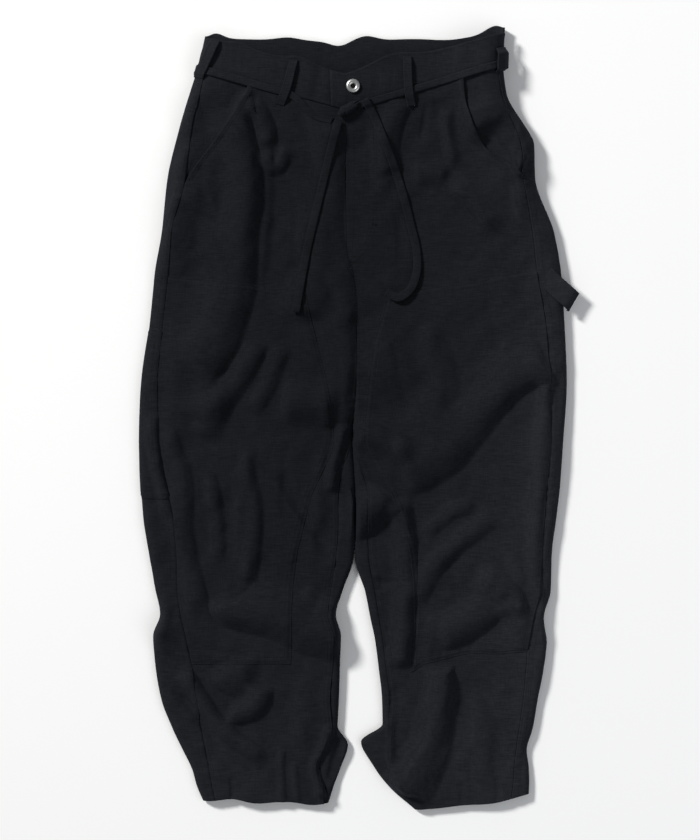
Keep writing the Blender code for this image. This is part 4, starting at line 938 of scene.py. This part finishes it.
def build_front(side, half, rows):
    """The front, from the pocket's mouth and the side seam to the inner seam. The knee panel uses its grid."""
    seam_q = half.q_of(rows, "x_seam")
    pocket_q = np.maximum(half.q_of(rows, "x_pocket"), seam_q)
    start = pocket_q + HALF_SEAM
    line = half.q_of(rows, "x_panel")
    end = half.q_of(rows, "x_inseam") - inner_gap(half, rows)
    q = np.concatenate([columns(start, line, MIDDLE), columns(line, end, 14, fine_a=False)[:, 1:]], 1)
    p, n = grid_of(half, rows, q)
    along = rows[:, None] + 0.0 * q
    seam = felled(end[:, None] - q, along, (1.6, 5.4), 5.6, 0.5, 61) * (half.roll(rows) > 0.6)[:, None]
    mouth = (pocket_q > seam_q + 0.5)[:, None]
    seam = seam + np.where(mouth, felled(q - start[:, None], along, (3.4,), 3.6, 0.95, 67), 0.0)
    seam = seam + hem_relief(half, along, q, 71)
    p = p + n * seam[..., None]
    cloth_wall("front_" + side, p, n, -CLOTH, 0.0)
    return p, n, q


def build_knee_panel(side, half, rows, p, n, q):
    """The panel sewn over the front's grid, from the side seam to its inner line."""
    down = slice(row_at(rows, half.at("panel_top")), row_at(rows, half.at("panel_bottom")) + 1)
    across = slice(0, MIDDLE + 2 * FINE_COLUMNS + 1)
    rows, q = rows[down, None], q[down, across]
    to_end = np.minimum(rows - rows[0], rows[-1] - rows) + 0 * q
    inner = q[:, -1:] - q
    edge = np.minimum(to_end, inner)
    relief = felled(edge, np.where(inner < to_end, rows + 0 * q, q), (2.0, 6.6), 7.2, 0.25, 73)
    outside = 0.10 + (GAP + PANEL - 0.10) * smooth((edge + 0.4) / 7.0) + relief
    cloth_wall("knee_panel_" + side, p[down, across], n[down, across], GAP * smooth(edge / 4.0) - 0.2, outside)


def build_back(side, half, rows):
    """The back, from the side seam round the outer edge and under. The tool pocket uses its grid."""
    wide = half.wide(rows)
    start = half.q_of(rows, "x_seam") - HALF_SEAM
    past = half.q_of(rows, "x_inseam") + inner_gap(half, rows) - 2 * wide
    end = np.where(half.roll(rows) > CLOSED, past, -wide + HALF_SEAM)
    q = around_back(half, rows, start, end, 30, 18, 18)
    p, n = grid_of(half, rows, q)
    along = rows[:, None] + 0.0 * q
    seam = felled(start[:, None] - q, along, (1.6, 5.4), 5.6, 0.5, 79) * smooth((q - 1.0) / 3.0)
    seam = seam + hem_relief(half, along, q, 83) * smooth((q + 1.0) / 3.0)
    p = p + n * seam[..., None]
    cloth_wall("back_" + side, p, n, -CLOTH, 0.0, BACK_MAT)
    return p, n, q


def build_tool_pocket(half, rows, p, n, q):
    """The pocket sewn over the back's grid, round the outer edge of the thigh."""
    down = slice(row_at(rows, half.at("thigh") - 2.0), row_at(rows, half.at("fork") + 8.0) + 1)
    across = slice(0, TOOL_COLUMNS)
    rows, q = rows[down, None], q[down, across]
    to_end = np.minimum(rows - rows[0], rows[-1] - rows) + 0.0 * q
    lip = felled(to_end, q, (2.2, 6.4), 7.0, 0.3, 89)
    lift = smooth((to_end + 0.3) / 6.0)
    cloth_wall("tool_pocket", p[down, across], n[down, across], GAP * lift - 0.2,
               0.1 + (GAP + PANEL - 0.1) * lift + lip)


def build_facing(side, half):
    """The facing under the pocket's mouth, from the side seam to a little past the mouth."""
    rows = dense_rows(half, ("waist", "pocket_end"))
    seam = half.q_of(rows, "x_seam") + HALF_SEAM
    mouth = half.q_of(rows, "x_pocket")
    q = seam[:, None] + (mouth + 9.0 - seam)[:, None] * np.linspace(0, 1, 36)
    p, n = grid_of(half, rows, q, 0.6)
    opening = np.maximum(mouth - seam, 0.01)[:, None]
    across = smooth((q - seam[:, None]) / np.maximum(opening - 2.0, 1.0))
    extra = 1.6 * smooth((rows - rows[0]) / 26.0)[:, None] if side == "left" else 0.0
    depth = np.maximum(across, 1.0 - smooth(opening / 14.0)) * (CLOTH + 0.5 + extra)
    cloth_wall("pocket_facing_" + side, p, n, -depth - 1.0, -depth)


for SIDE, HALF in HALVES.items():
    ROWS = dense_rows(HALF, MAIN, SEAMS)
    ROWS[0] += 0.25
    build_knee_panel(SIDE, HALF, ROWS, *build_front(SIDE, HALF, ROWS))
    BACK = build_back(SIDE, HALF, ROWS)
    if SIDE == "right":
        build_tool_pocket(HALF, ROWS, *BACK)
    build_facing(SIDE, HALF)

# Waistband
BAND_ROWS = 20
SIDE_START = 0.12


def joined(right, left):
    """The grid of the right half carried on by that of the left half, read backwards."""
    return np.concatenate([right, left[:, ::-1][:, 1:]], 1)


def band_rows(half):
    """Distances of the rows of the band."""
    return np.linspace(half.at("band_top"), half.at("waist") - 0.25, BAND_ROWS)


def band_relief(p, rows):
    """Gathers across the band and the ridge of its edges, in mm."""
    x = p[..., 0] / STEP
    t = np.linspace(0, 1, len(rows))[:, None]
    gathers = 0.7 * value_noise(x / 8.5, t * 1.2 + 5.0, 31) + 0.35 * value_noise(x / 3.6, t * 2.0, 37)
    edge = 0.30 * hump(t, 0.04, 0.06) + 0.30 * hump(t, 0.97, 0.05) - 0.35 * hump(t, 0.90, 0.03)
    return gathers * (0.35 + 0.65 * np.sin(math.pi * t)) + edge


def arc(q0, q1, n):
    """Places from q0 to q1, closer together near q0."""
    t = np.linspace(0, 1, n + 1)
    return q0 + (q1 - q0) * (t ** 1.5)


def build_band():
    """The band round the waist: right front under the left front, and the back in one piece."""
    rows = band_rows(R)
    q = np.broadcast_to(arc(SIDE_START, 147.0, 84), (BAND_ROWS, 85)).copy()
    p, n = grid_of(R, rows, q, 0.5)
    under = smooth((q - 108.0) / 9.0) * (BAND + 0.5)
    relief = band_relief(p, rows) - under
    cloth_wall("waistband_right", p, n, relief - BAND, relief)

    rows = band_rows(L)
    q = arc(0.0, 1.0, 90)[None, :] * (L.wide(rows)[:, None] + 15.0)
    q[:, 0] = SIDE_START
    p, n = grid_of(L, rows, q, 0.5)
    relief = band_relief(p, rows)
    cloth_wall("waistband_left", p, n, relief - BAND, relief)

    tails = []
    for half in (R, L):
        rows = band_rows(half)
        q = -arc(0.0, 1.0, 70)[None, :] * half.wide(rows)[:, None]
        q[:, 0] = -SIDE_START
        tails.append(grid_of(half, rows, q, 0.5))
    (pr, nr), (pl, nl) = tails
    p, n = joined(pr, pl), joined(nr, nl)
    relief = -np.abs(band_relief(p, band_rows(R))) * 0.8
    cloth_wall("waistband_back", p, n, relief - BAND, np.minimum(relief, 0.0) * 0.3)


build_band()

# Heights of everything laid so far, for what lies on it
LAID = []


def remember(*names):
    """Adds the cloth of the named nodes to what rays from above can find."""
    for name in names:
        obj = bpy.data.objects[name + "_cloth"]
        count = len(obj.data.vertices)
        co = np.empty(count * 3)
        obj.data.vertices.foreach_get("co", co)
        faces = [tuple(p.vertices) for p in obj.data.polygons]
        LAID.append(BVHTree.FromPolygons([Vector(v) for v in co.reshape(-1, 3)], faces))


def hit(x, y):
    """Highest place of the laid cloth under a plan place in steps: point in metres and direction."""
    x_mm, y_mm = mm_of(x, y)
    top = Vector((x_mm + SHIFT[0], y_mm + SHIFT[1], RAYS_FROM)) * MM
    best = None
    for tree in LAID:
        where, normal = tree.ray_cast(top, Vector((0, 0, -1)))[:2]
        if where is not None and (best is None or where.z > best[0].z):
            best = (where, normal if normal.z > 0 else -normal)
    return best


def level(x, y):
    """Heights in mm of the laid cloth over arrays of plan places."""
    out = np.zeros(np.shape(x))
    for k in np.ndindex(out.shape):
        found = hit(float(x[k]), float(y[k]))
        out[k] = found[0].z * 1000.0 if found else 0.0
    return out


# Paths as x, y and height
TIE_END_RIGHT = (
    (338.5, 122.5, 1.6), (332.5, 145, 0.8), (325, 175, 0.8), (316.5, 210, 0.8), (305.5, 258, 0.8),
    (300.5, 286, 2.4), (296, 313, 3.0),
)
TIE_END_LEFT = (
    (364.5, 101.5, 4.0), (373.5, 117, 0.9), (380.5, 134, 0.8), (393, 165, 0.8), (403, 196, 0.8),
    (411, 227, 0.8), (416.5, 252, 1.2), (416, 275, 3.5), (409, 291, 5.5), (398, 298, 7.0),
    (386, 292, 8.5),
)


def strap(kind, side, s_from, past_waist, q_mid_a, q_mid_b, low, rise):
    """A belt loop over the skin, its middle raised over the tie, both ends sewn down."""
    half = HALVES[side]
    sw = half.at("waist")
    s_to = sw + past_waist
    t = np.linspace(0, 1, 46)
    s = s_from + (s_to - s_from) * t
    mid = q_mid_a + (q_mid_b - q_mid_a) * t
    across = np.linspace(-0.5, 0.5, 11)
    q = mid[:, None] + across[None, :] * LOOP_WIDE / STEP
    s2 = np.broadcast_to(s[:, None], q.shape)
    p, n = half.skin(s2, q), half.normal(s2, q)
    bump = low + rise * smooth((s - s_from) / 7.0) * smooth((s_to - s) / (s_to - sw - 2.6))
    rim = 0.22 * hump(np.abs(across), 0.40, 0.07) - 0.12 * hump(np.abs(across), 0.28, 0.05)
    inside = np.repeat(bump[:, None], 11, 1)
    outside = inside + LOOP_THICK + rim
    cloth_wall("belt_loop_" + kind + side, p, n, inside, outside)


TIE_SAG, SAG_FROM, SAG_LONG = 17.0, 287.0, 40.0
TIE_LOW = GAP + 0.3
OVER_TIE = TIE_LOW + TIE_THICK + 0.45 - GAP
HALF_TIE = TIE_WIDE / STEP / 2


def tie_part(half, q_end, count):
    """The tie on one half, from the middle of the back to q_end on the front."""
    s_mid = half.at("waist") - 1.5
    wide = float(half.wide(s_mid))
    q = block(half, s_mid, q_end, -wide, count, 24.0)
    off = np.linspace(-HALF_TIE, HALF_TIE, 9)
    x = plan_of(half.skin(np.full(len(q), s_mid), q))[0]
    slack = TIE_SAG * smooth((x - SAG_FROM) / SAG_LONG) * (q > 0) if half is R else np.zeros(len(q))
    s = s_mid + off[:, None] + slack[None, :]
    qq = np.broadcast_to(q[None, :], s.shape)
    return half.skin(s, qq), half.normal(s, qq)


def build_tie():
    """The tape round the waist, with soft wrinkles."""
    pr, nr = tie_part(R, 141.0, 170)
    pl, nl = tie_part(L, 146.0, 150)
    p, n = joined(pr, pl), joined(nr, nl)
    off = np.linspace(-1, 1, 9)[:, None]
    soft = np.abs(off) ** 3
    length = lengths(p[4])[None, :]
    wrinkle = 0.28 * value_noise(length / 7.0, off * 1.1 + 3.0, 41)
    wrinkle = wrinkle + 0.20 * value_noise(length / 3.0, off * 0.8, 43)
    rim = 0.20 * hump(np.abs(off), 0.86, 0.10)
    up = smooth((n[..., 2] + 0.2) / 0.6)
    outside = TIE_LOW + TIE_THICK - 0.55 * soft + (wrinkle + rim) * up
    inside = TIE_LOW + 0.15 * soft + np.zeros_like(outside)
    cloth_wall("tie_belt", p, n, inside, outside, TIE_MAT)


def build_back_loop():
    """The belt loop over the middle of the back, from one half onto the other."""
    sw = R.at("waist")
    s = np.linspace(12.0, sw + 10.0, 30)
    half_wide = 0.5 * LOOP_WIDE / STEP
    q_r = -R.wide(s)[:, None] + np.linspace(half_wide, 0.6, 5)[None, :]
    q_l = -L.wide(s)[:, None] + np.linspace(0.6, half_wide, 5)[None, :]
    rows_r = np.broadcast_to(s[:, None], q_r.shape)
    p = np.concatenate([R.skin(rows_r, q_r), L.skin(rows_r, q_l)], 1)
    n = np.concatenate([R.normal(rows_r, q_r), L.normal(rows_r, q_l)], 1)
    bump = GAP + OVER_TIE * smooth((s - 12.0) / 7.0) * smooth((sw + 10.0 - s) / 7.4)
    inside = np.repeat(bump[:, None], 10, 1)
    cloth_wall("belt_loop_back", p, n, inside, inside + LOOP_THICK)


def free_end(side, rows, n):
    """A free end of the tie, laid over everything under its path."""
    c = rounded(rows, n)
    d = np.gradient(c[:, :2], axis=0)
    d = d / np.linalg.norm(d, axis=1, keepdims=True)
    across = np.linspace(-1.0, 1.0, 9)
    reach = across * HALF_TIE * 1.08
    x = c[:, :1] - d[:, 1:] * reach
    y = c[:, 1:2] + d[:, :1] * reach
    z = level(x, y)
    z = 0.5 * z.max(1, keepdims=True) + 0.5 * z
    for _ in range(2):
        z[1:-1] = np.maximum(z[1:-1], (z[:-2] + z[1:-1] + z[2:]) / 3.0)
    low = np.maximum(z, level(x, y)) + c[:, 2:] * 0.7 + 0.25
    length = lengths(c[:, :2])[:, None]
    soft = np.abs(across) ** 3
    wrinkle = 0.26 * value_noise(length / 6.0, across[None, :] * 1.1 + 9.0, 47)
    rim = 0.20 * hump(np.abs(across), 0.86, 0.10)
    high = low + 1.9 - 0.5 * soft[None, :] + wrinkle + rim[None, :]
    x_mm, y_mm = mm_of(x, y)
    top = np.stack([x_mm, y_mm, high], -1)
    bottom = np.stack([x_mm, y_mm, low + 0.12 * soft[None, :]], -1)
    wall("tie_end_" + side, top, bottom, TIE_MAT)


def build_knot():
    """A half knot of tape: two turns side by side with a crossing turn at their lower end."""
    kx, ky = 348.5, 110.5
    gx, gy = np.meshgrid(np.linspace(kx - 8, kx + 8, 13), np.linspace(ky - 3, ky + 3, 9))
    ground = float(level(gx, gy - 0.6 * (gx - kx)).max())
    centre = np.array([*mm_of(kx, ky), ground + 4.1])
    tilt = 0.56
    verts, faces = [], []
    rings, around = 48, 64
    for i in range(rings + 1):
        a = math.pi * i / rings
        for j in range(around):
            b = 2 * math.pi * j / around
            x, y, z = math.sin(a) * math.cos(b), math.sin(a) * math.sin(b), math.cos(a)
            split = -0.22 * math.exp(-((y + 0.12 - 0.25 * x) / 0.13) ** 2) * smooth((x + 0.35) / 0.4)
            turn = 0.16 * math.exp(-((x + 0.62 - 0.3 * y) / 0.24) ** 2)
            edge = -0.14 * math.exp(-((x + 0.26 - 0.3 * y) / 0.07) ** 2)
            fold = 0.03 * math.sin(11.0 * y + 4.0 * x)
            r = 0.97 + (split + turn + edge + fold) * math.sin(a)
            v = np.array([15.5 * x, 5.9 * y, 4.4 * z]) * r
            c, s = math.cos(tilt), math.sin(tilt)
            verts.append(centre + np.array([v[0] * c - v[1] * s, v[0] * s + v[1] * c, v[2]]))
    for i in range(rings):
        for j in range(around):
            k = (j + 1) % around
            faces.append((i * around + j, (i + 1) * around + j, (i + 1) * around + k, i * around + k))
    obj = mesh_piece("tie_knot_cloth", verts, faces, TIE_MAT, "navy_tie", "tie_knot")
    weld = bmesh.new()
    weld.from_mesh(obj.data)
    bmesh.ops.remove_doubles(weld, verts=weld.verts, dist=0.00002)
    bmesh.ops.recalc_face_normals(weld, faces=weld.faces)
    weld.to_mesh(obj.data)
    weld.free()


def build_button():
    """A rolled metal ring round a sunk middle covered by a dark disc of painted shade, tilted with the band
    under it.
    """
    bx, by = 353.0, 88.0
    found = hit(bx, by)
    sb, qb = L.find(np.array([bx]), np.array([by]))
    normal = L.normal(sb, qb)[0]
    centre = np.array(found[0]) * 1000.0 - np.array([*SHIFT, 0.0]) + normal * 0.5
    axis_x = np.cross([0.0, 1.0, 0.0], normal)
    axis_x /= np.linalg.norm(axis_x)
    axis_y = np.cross(normal, axis_x)
    ring = [(0.0, 0.75), (2.4, 0.75)]
    ring += [(5.6 - 2.9 * math.cos(a), 1.0 + 2.1 * math.sin(a)) for a in np.linspace(0.15, math.pi - 0.1, 18)]
    ring += [(8.3, 0.6), (7.8, 0.2), (0.0, 0.2)]
    around = 72

    def circle(r, z):
        turns = [2 * math.pi * j / around for j in range(around)]
        return [centre + (axis_x * math.cos(b) + axis_y * math.sin(b)) * r + normal * z for b in turns]

    verts = [centre + normal * ring[0][1]]
    for r, z in ring[1:-1]:
        verts += circle(r, z)
    verts.append(centre + normal * ring[-1][1])
    faces = []
    rings = len(ring) - 2
    for j in range(around):
        k = (j + 1) % around
        faces.append((0, 1 + j, 1 + k))
        base = 1 + (rings - 1) * around
        faces.append((len(verts) - 1, base + k, base + j))
        for i in range(rings - 1):
            a = 1 + i * around
            faces.append((a + j, a + j + around, a + k + around, a + k))
    mesh_piece("button_ring", verts, faces, STEEL, "steel", "button")
    # A dark disc of painted shade in the sunk middle of the button
    disc = [centre + normal * 1.1, *circle(3.5, 1.0), centre + normal * 0.4]
    sides = [(0, 1 + j, 1 + (j + 1) % around) for j in range(around)]
    sides += [(around + 1, 1 + (j + 1) % around, 1 + j) for j in range(around)]
    mesh_piece("button_middle_painted_shade", disc, sides, HOLLOW_SHADE_MAT, "steel")


LOOP_PATH = (
    (545.5, 276.5, 19.0), (553.0, 284.5, 20.0), (562.5, 293.0, 20.0), (570.3, 299.8, 17.8),
    (573.2, 302.5, 13.8),
    (571.4, 302.0, 11.4),
)


def build_hammer_loop():
    """The loop of cloth standing out from the seam of the left half."""
    line = rounded(LOOP_PATH, 60)
    line[:, 0], line[:, 1] = mm_of(line[:, 0], line[:, 1])
    across = np.linspace(-12.5, 12.5, 25)
    grid = line[:, None, :] + across[None, :, None] * np.array([0.50, 0.866, 0.0])
    n = grid_normals(grid)
    if n[0, 0, 2] < 0:
        n = -n
    rim = 0.20 * hump(np.abs(across), 11.4, 0.9) - 0.12 * hump(np.abs(across), 9.8, 0.6)
    wave = 0.3 * value_noise(grid[..., 0] / 8.0, grid[..., 1] / 8.0, 53)
    outside = 0.7 + rim[None, :] + wave
    cloth_wall("hammer_loop", grid, n, -0.7 + wave, outside)


for SIDE in HALVES:
    remember(*[piece + SIDE for piece in ("front_", "knee_panel_", "back_", "pocket_facing_", "waistband_")])
remember("tool_pocket")

build_tie()
remember("tie_belt")
strap("front_", "right", 4.0, 12.0, 90, 87, GAP + 0.2, OVER_TIE)
strap("front_", "left", 4.0, 15.0, 98, 93, GAP + 0.2, OVER_TIE)
strap("side_", "right", 1.0, 7.0, 12.0, 5.0, GAP + 0.5, OVER_TIE)
build_back_loop()
strap("side_", "left", 16.0, 5.5, 4.5, 4.5, GAP + 0.5, OVER_TIE + 1.8)
free_end("right", TIE_END_RIGHT, 150)
free_end("left", TIE_END_LEFT, 180)
build_knot()
build_button()
build_hammer_loop()
for SIDE in HALVES:
    remember("belt_loop_front_" + SIDE, "belt_loop_side_" + SIDE)
remember("hammer_loop")


# Stitches
THREAD_WIDE, THREAD_HIGH = 0.55, 0.32
PITCH, STITCH = 3.3, 2.5
TACK_PITCH, TACK = 0.9, 3.2
LINE_STEP = 1.5


class Stitches:
    """Short thread bars along lines on the laid cloth, gathered into one mesh for each line."""

    def __init__(self):
        self.verts, self.faces = [], []

    def bar(self, place, along, normal, length):
        """One thread, pointed at both ends and raised in its middle."""
        side = normal.cross(along)
        if side.length < 1e-6:
            return
        side.normalize()
        a = along.normalized() * (length * 0.0005)
        w = side * (THREAD_WIDE * 0.0005)
        up = normal * (THREAD_HIGH * MM)
        k = len(self.verts)
        c = place + normal * 0.00008
        self.verts += [c - a, c + w, c + a, c - w, c + up, c - up * 0.6]
        self.faces += [(k, k + 1, k + 4), (k + 1, k + 2, k + 4), (k + 2, k + 3, k + 4), (k + 3, k, k + 4),
                       (k + 1, k, k + 5), (k + 2, k + 1, k + 5), (k + 3, k + 2, k + 5), (k, k + 3, k + 5)]

    def found(self, points, first, pitch):
        """The laid cloth under places a pitch apart along plan places in steps."""
        v = np.asarray(points, float)
        s = lengths(v) * STEP
        t = np.arange(first, s[-1], pitch)
        return [hit(float(a), float(b)) for a, b in zip(np.interp(t, s, v[:, 0]), np.interp(t, s, v[:, 1]))]

    def run(self, points):
        """Stitches along plan places in steps."""
        found = self.found(points, 0.5 * PITCH, PITCH)
        for i, here in enumerate(found):
            after, before = found[min(i + 1, len(found) - 1)], found[max(i - 1, 0)]
            if here and after and before:
                along = after[0] - before[0]
                if 1e-5 <= along.length <= 0.012:
                    self.bar(here[0], along, here[1], STITCH)

    def bars(self, start, end):
        """A bar tack: threads side by side across a short line."""
        d = Vector((end[0] - start[0], start[1] - end[1], 0.0))
        for here in self.found((start, end), 0.0, TACK_PITCH):
            if here:
                self.bar(here[0], here[1].cross(d), here[1], TACK)

    def finish(self, name):
        """Makes one piece of the threads."""
        mesh = bpy.data.meshes.new(name)
        mesh.from_pydata(self.verts, [], self.faces)
        mesh.materials.append(THREAD_MAT)
        obj = placed(name, mesh)
        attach(obj, "root")


def line_of(half, s0, s1, column, offset):
    """Plan places of a section column moved sideways by offset steps, outwards being below zero."""
    s = np.arange(s0, s1, LINE_STEP)
    return np.stack(plan_of(half.skin(s, half.q_of(s, column) + offset)), 1)


def across_line(half, s, qa, qb):
    """Plan places across the half at one distance down."""
    q = np.arange(qa, qb, LINE_STEP)
    return np.stack(plan_of(half.skin(np.full_like(q, s), q)), 1)


def smooth_line(points):
    """Evenly spaced plan places on the line through the points, its corners rounded off."""
    v = np.asarray(points, float)
    s = lengths(v)
    t = np.linspace(0, s[-1], 60)
    x, y = np.interp(t, s, v[:, 0]), np.interp(t, s, v[:, 1])
    for _ in range(6):
        x[1:-1] = (x[:-2] + 2 * x[1:-1] + x[2:]) / 4
        y[1:-1] = (y[:-2] + 2 * y[1:-1] + y[2:]) / 4
    return np.stack([x, y], 1)


# Lines of stitches down the columns of a half: column, from and to with steps added, steps beside it
DOWN = (
    ("x_seam", "pocket_end", 2, "hem", -1, (-1.8, -6.4)),
    ("x_inseam", "crotch", 6, "hem", -1, (-1.9, -6.2)),
    ("x_pocket", "waist", 3, "pocket_end", -1, (2.2, 5.4)),
    ("x_panel", "panel_top", 1, "panel_bottom", -1, (-1.8, -6.4)),
)
FLY = (
    ((376, 130), (376.5, 180), (376, 225), (370, 244), (360, 258), (349, 266)),
    ((373.5, 130), (374, 180), (373.5, 222), (368, 240), (358, 254), (349, 262)),
    ((353.5, 128), (354, 180), (354, 225), (351, 262), (356, 300), (360, 350), (359, 400)),
    ((351, 264), (356, 300), (358, 350), (356, 400), (353, 428)),
)


def sew():
    """Two rows down every seam, round the knee panels and along the band, one at the hem, and the fly."""
    for side, half in HALVES.items():
        made = Stitches()
        for column, start, after, end, before, offsets in DOWN:
            for offset in offsets:
                made.run(line_of(half, half.at(start) + after, half.at(end) + before, column, offset))
        for edge, offsets in (("panel_top", (2.0, 7.0)), ("panel_bottom", (-2.0, -6.8))):
            s = half.at(edge)
            for offset in offsets:
                made.run(across_line(half, s + offset, float(half.q_of(s, "x_seam")) + 1,
                                     float(half.q_of(s, "x_panel")) - 1))
        s = half.at("hem") - HEM_DEEP
        made.run(across_line(half, s, float(half.q_of(s, "x_seam")) - 8, float(half.q_of(s, "x_inseam"))))
        s = half.at("waist")
        end = 108.0 if side == "right" else float(half.wide(s)) + 10.0
        for offset in (-5.6, -3.2):
            made.run(across_line(half, s + offset, 6, end))
        made.run(across_line(half, 2.4, 16, end + (8 if side == "right" else 0)))
        made.finish("stitches_" + side)

    made = Stitches()
    for points in FLY:
        made.run(smooth_line(points))
    made.bars((350, 262), (356, 262))
    made.bars((372, 224), (377, 226))
    made.finish("stitches_fly")


sew()

# Floor, light and camera
FLOOR_HALF, FLOOR_LOW = 4, -0.0002


def pale_floor():
    """A pale floor, painted a little lighter on the right where the key light falls off."""
    mesh = bpy.data.meshes.new("floor")
    corners = ((-1, -1), (1, -1), (1, 1), (-1, 1))
    mesh.from_pydata([(FLOOR_HALF * x, FLOOR_HALF * y, FLOOR_LOW) for x, y in corners], [], [(0, 1, 2, 3)])
    mat, tree, shader = new_material("pale_floor")
    place = node(tree, "ShaderNodeTexCoord")
    split = node(tree, "ShaderNodeSeparateXYZ")
    tree.links.new(place.outputs["Object"], split.inputs["Vector"])
    ramp = node(tree, "ShaderNodeMapRange",
                {"From Min": -0.45, "From Max": 0.45, "To Min": 0.0, "To Max": 1.0})
    tree.links.new(split.outputs["X"], ramp.inputs["Value"])
    colour = node(tree, "ShaderNodeMix", data_type="RGBA")
    # Painted light: the floor's colour is lighter on the right, making up for the key light falling off there
    given(colour, {"A": (0.86, 0.865, 0.86, 1.0), "B": (0.92, 0.92, 0.925, 1.0)})
    tree.links.new(ramp.outputs["Result"], colour.inputs["Factor"])
    tree.links.new(colour.outputs["Result"], shader.inputs["Base Color"])
    given(shader, {"Roughness": 0.9, "Specular IOR Level": 0.1})
    mesh.materials.append(mat)
    placed("floor", mesh)


def area_light(name, place, size, power, colour):
    """A round light turned to the middle of the frame."""
    data = bpy.data.lights.new(name, "AREA")
    data.shape = "DISK"
    data.size = size
    data.energy = power
    data.color = colour
    obj = placed(name, data)
    obj.location = place
    direction = -Vector(place)
    obj.rotation_euler = direction.to_track_quat("-Z", "Y").to_euler()


pale_floor()
area_light("key", (-4.05, 3.2, 3.6), 1.2, 475.0, (1.0, 0.985, 0.965))
area_light("fill", (2.2, -1.5, 3.0), 3.0, 35.0, (0.96, 0.98, 1.0))
world = bpy.data.worlds.new("studio") if bpy.context.scene.world is None else bpy.context.scene.world
bpy.context.scene.world = world
world.use_nodes = True
given(world.node_tree.nodes["Background"], {"Color": (0.93, 0.96, 1.0, 1.0), "Strength": 0.27})
bpy.context.scene.view_settings.view_transform = "Standard"

CAMERA_HIGH = 3.0
PICTURE_WIDE, PICTURE_HIGH = 700, 840
PICTURE_LONG = PICTURE_HIGH * STEP * MM
camera_data = bpy.data.cameras.new("camera")
camera_data.sensor_width = 36.0
camera_data.lens = 36.0 * CAMERA_HIGH / PICTURE_LONG
camera_data.clip_end = 20.0
camera = placed("camera", camera_data)
middle = to_frame([*mm_of(0.5 * PICTURE_WIDE, 0.5 * PICTURE_HIGH), 0.0])
camera.location = (middle[0], middle[1], CAMERA_HIGH + 0.008)
bpy.context.scene.camera = camera
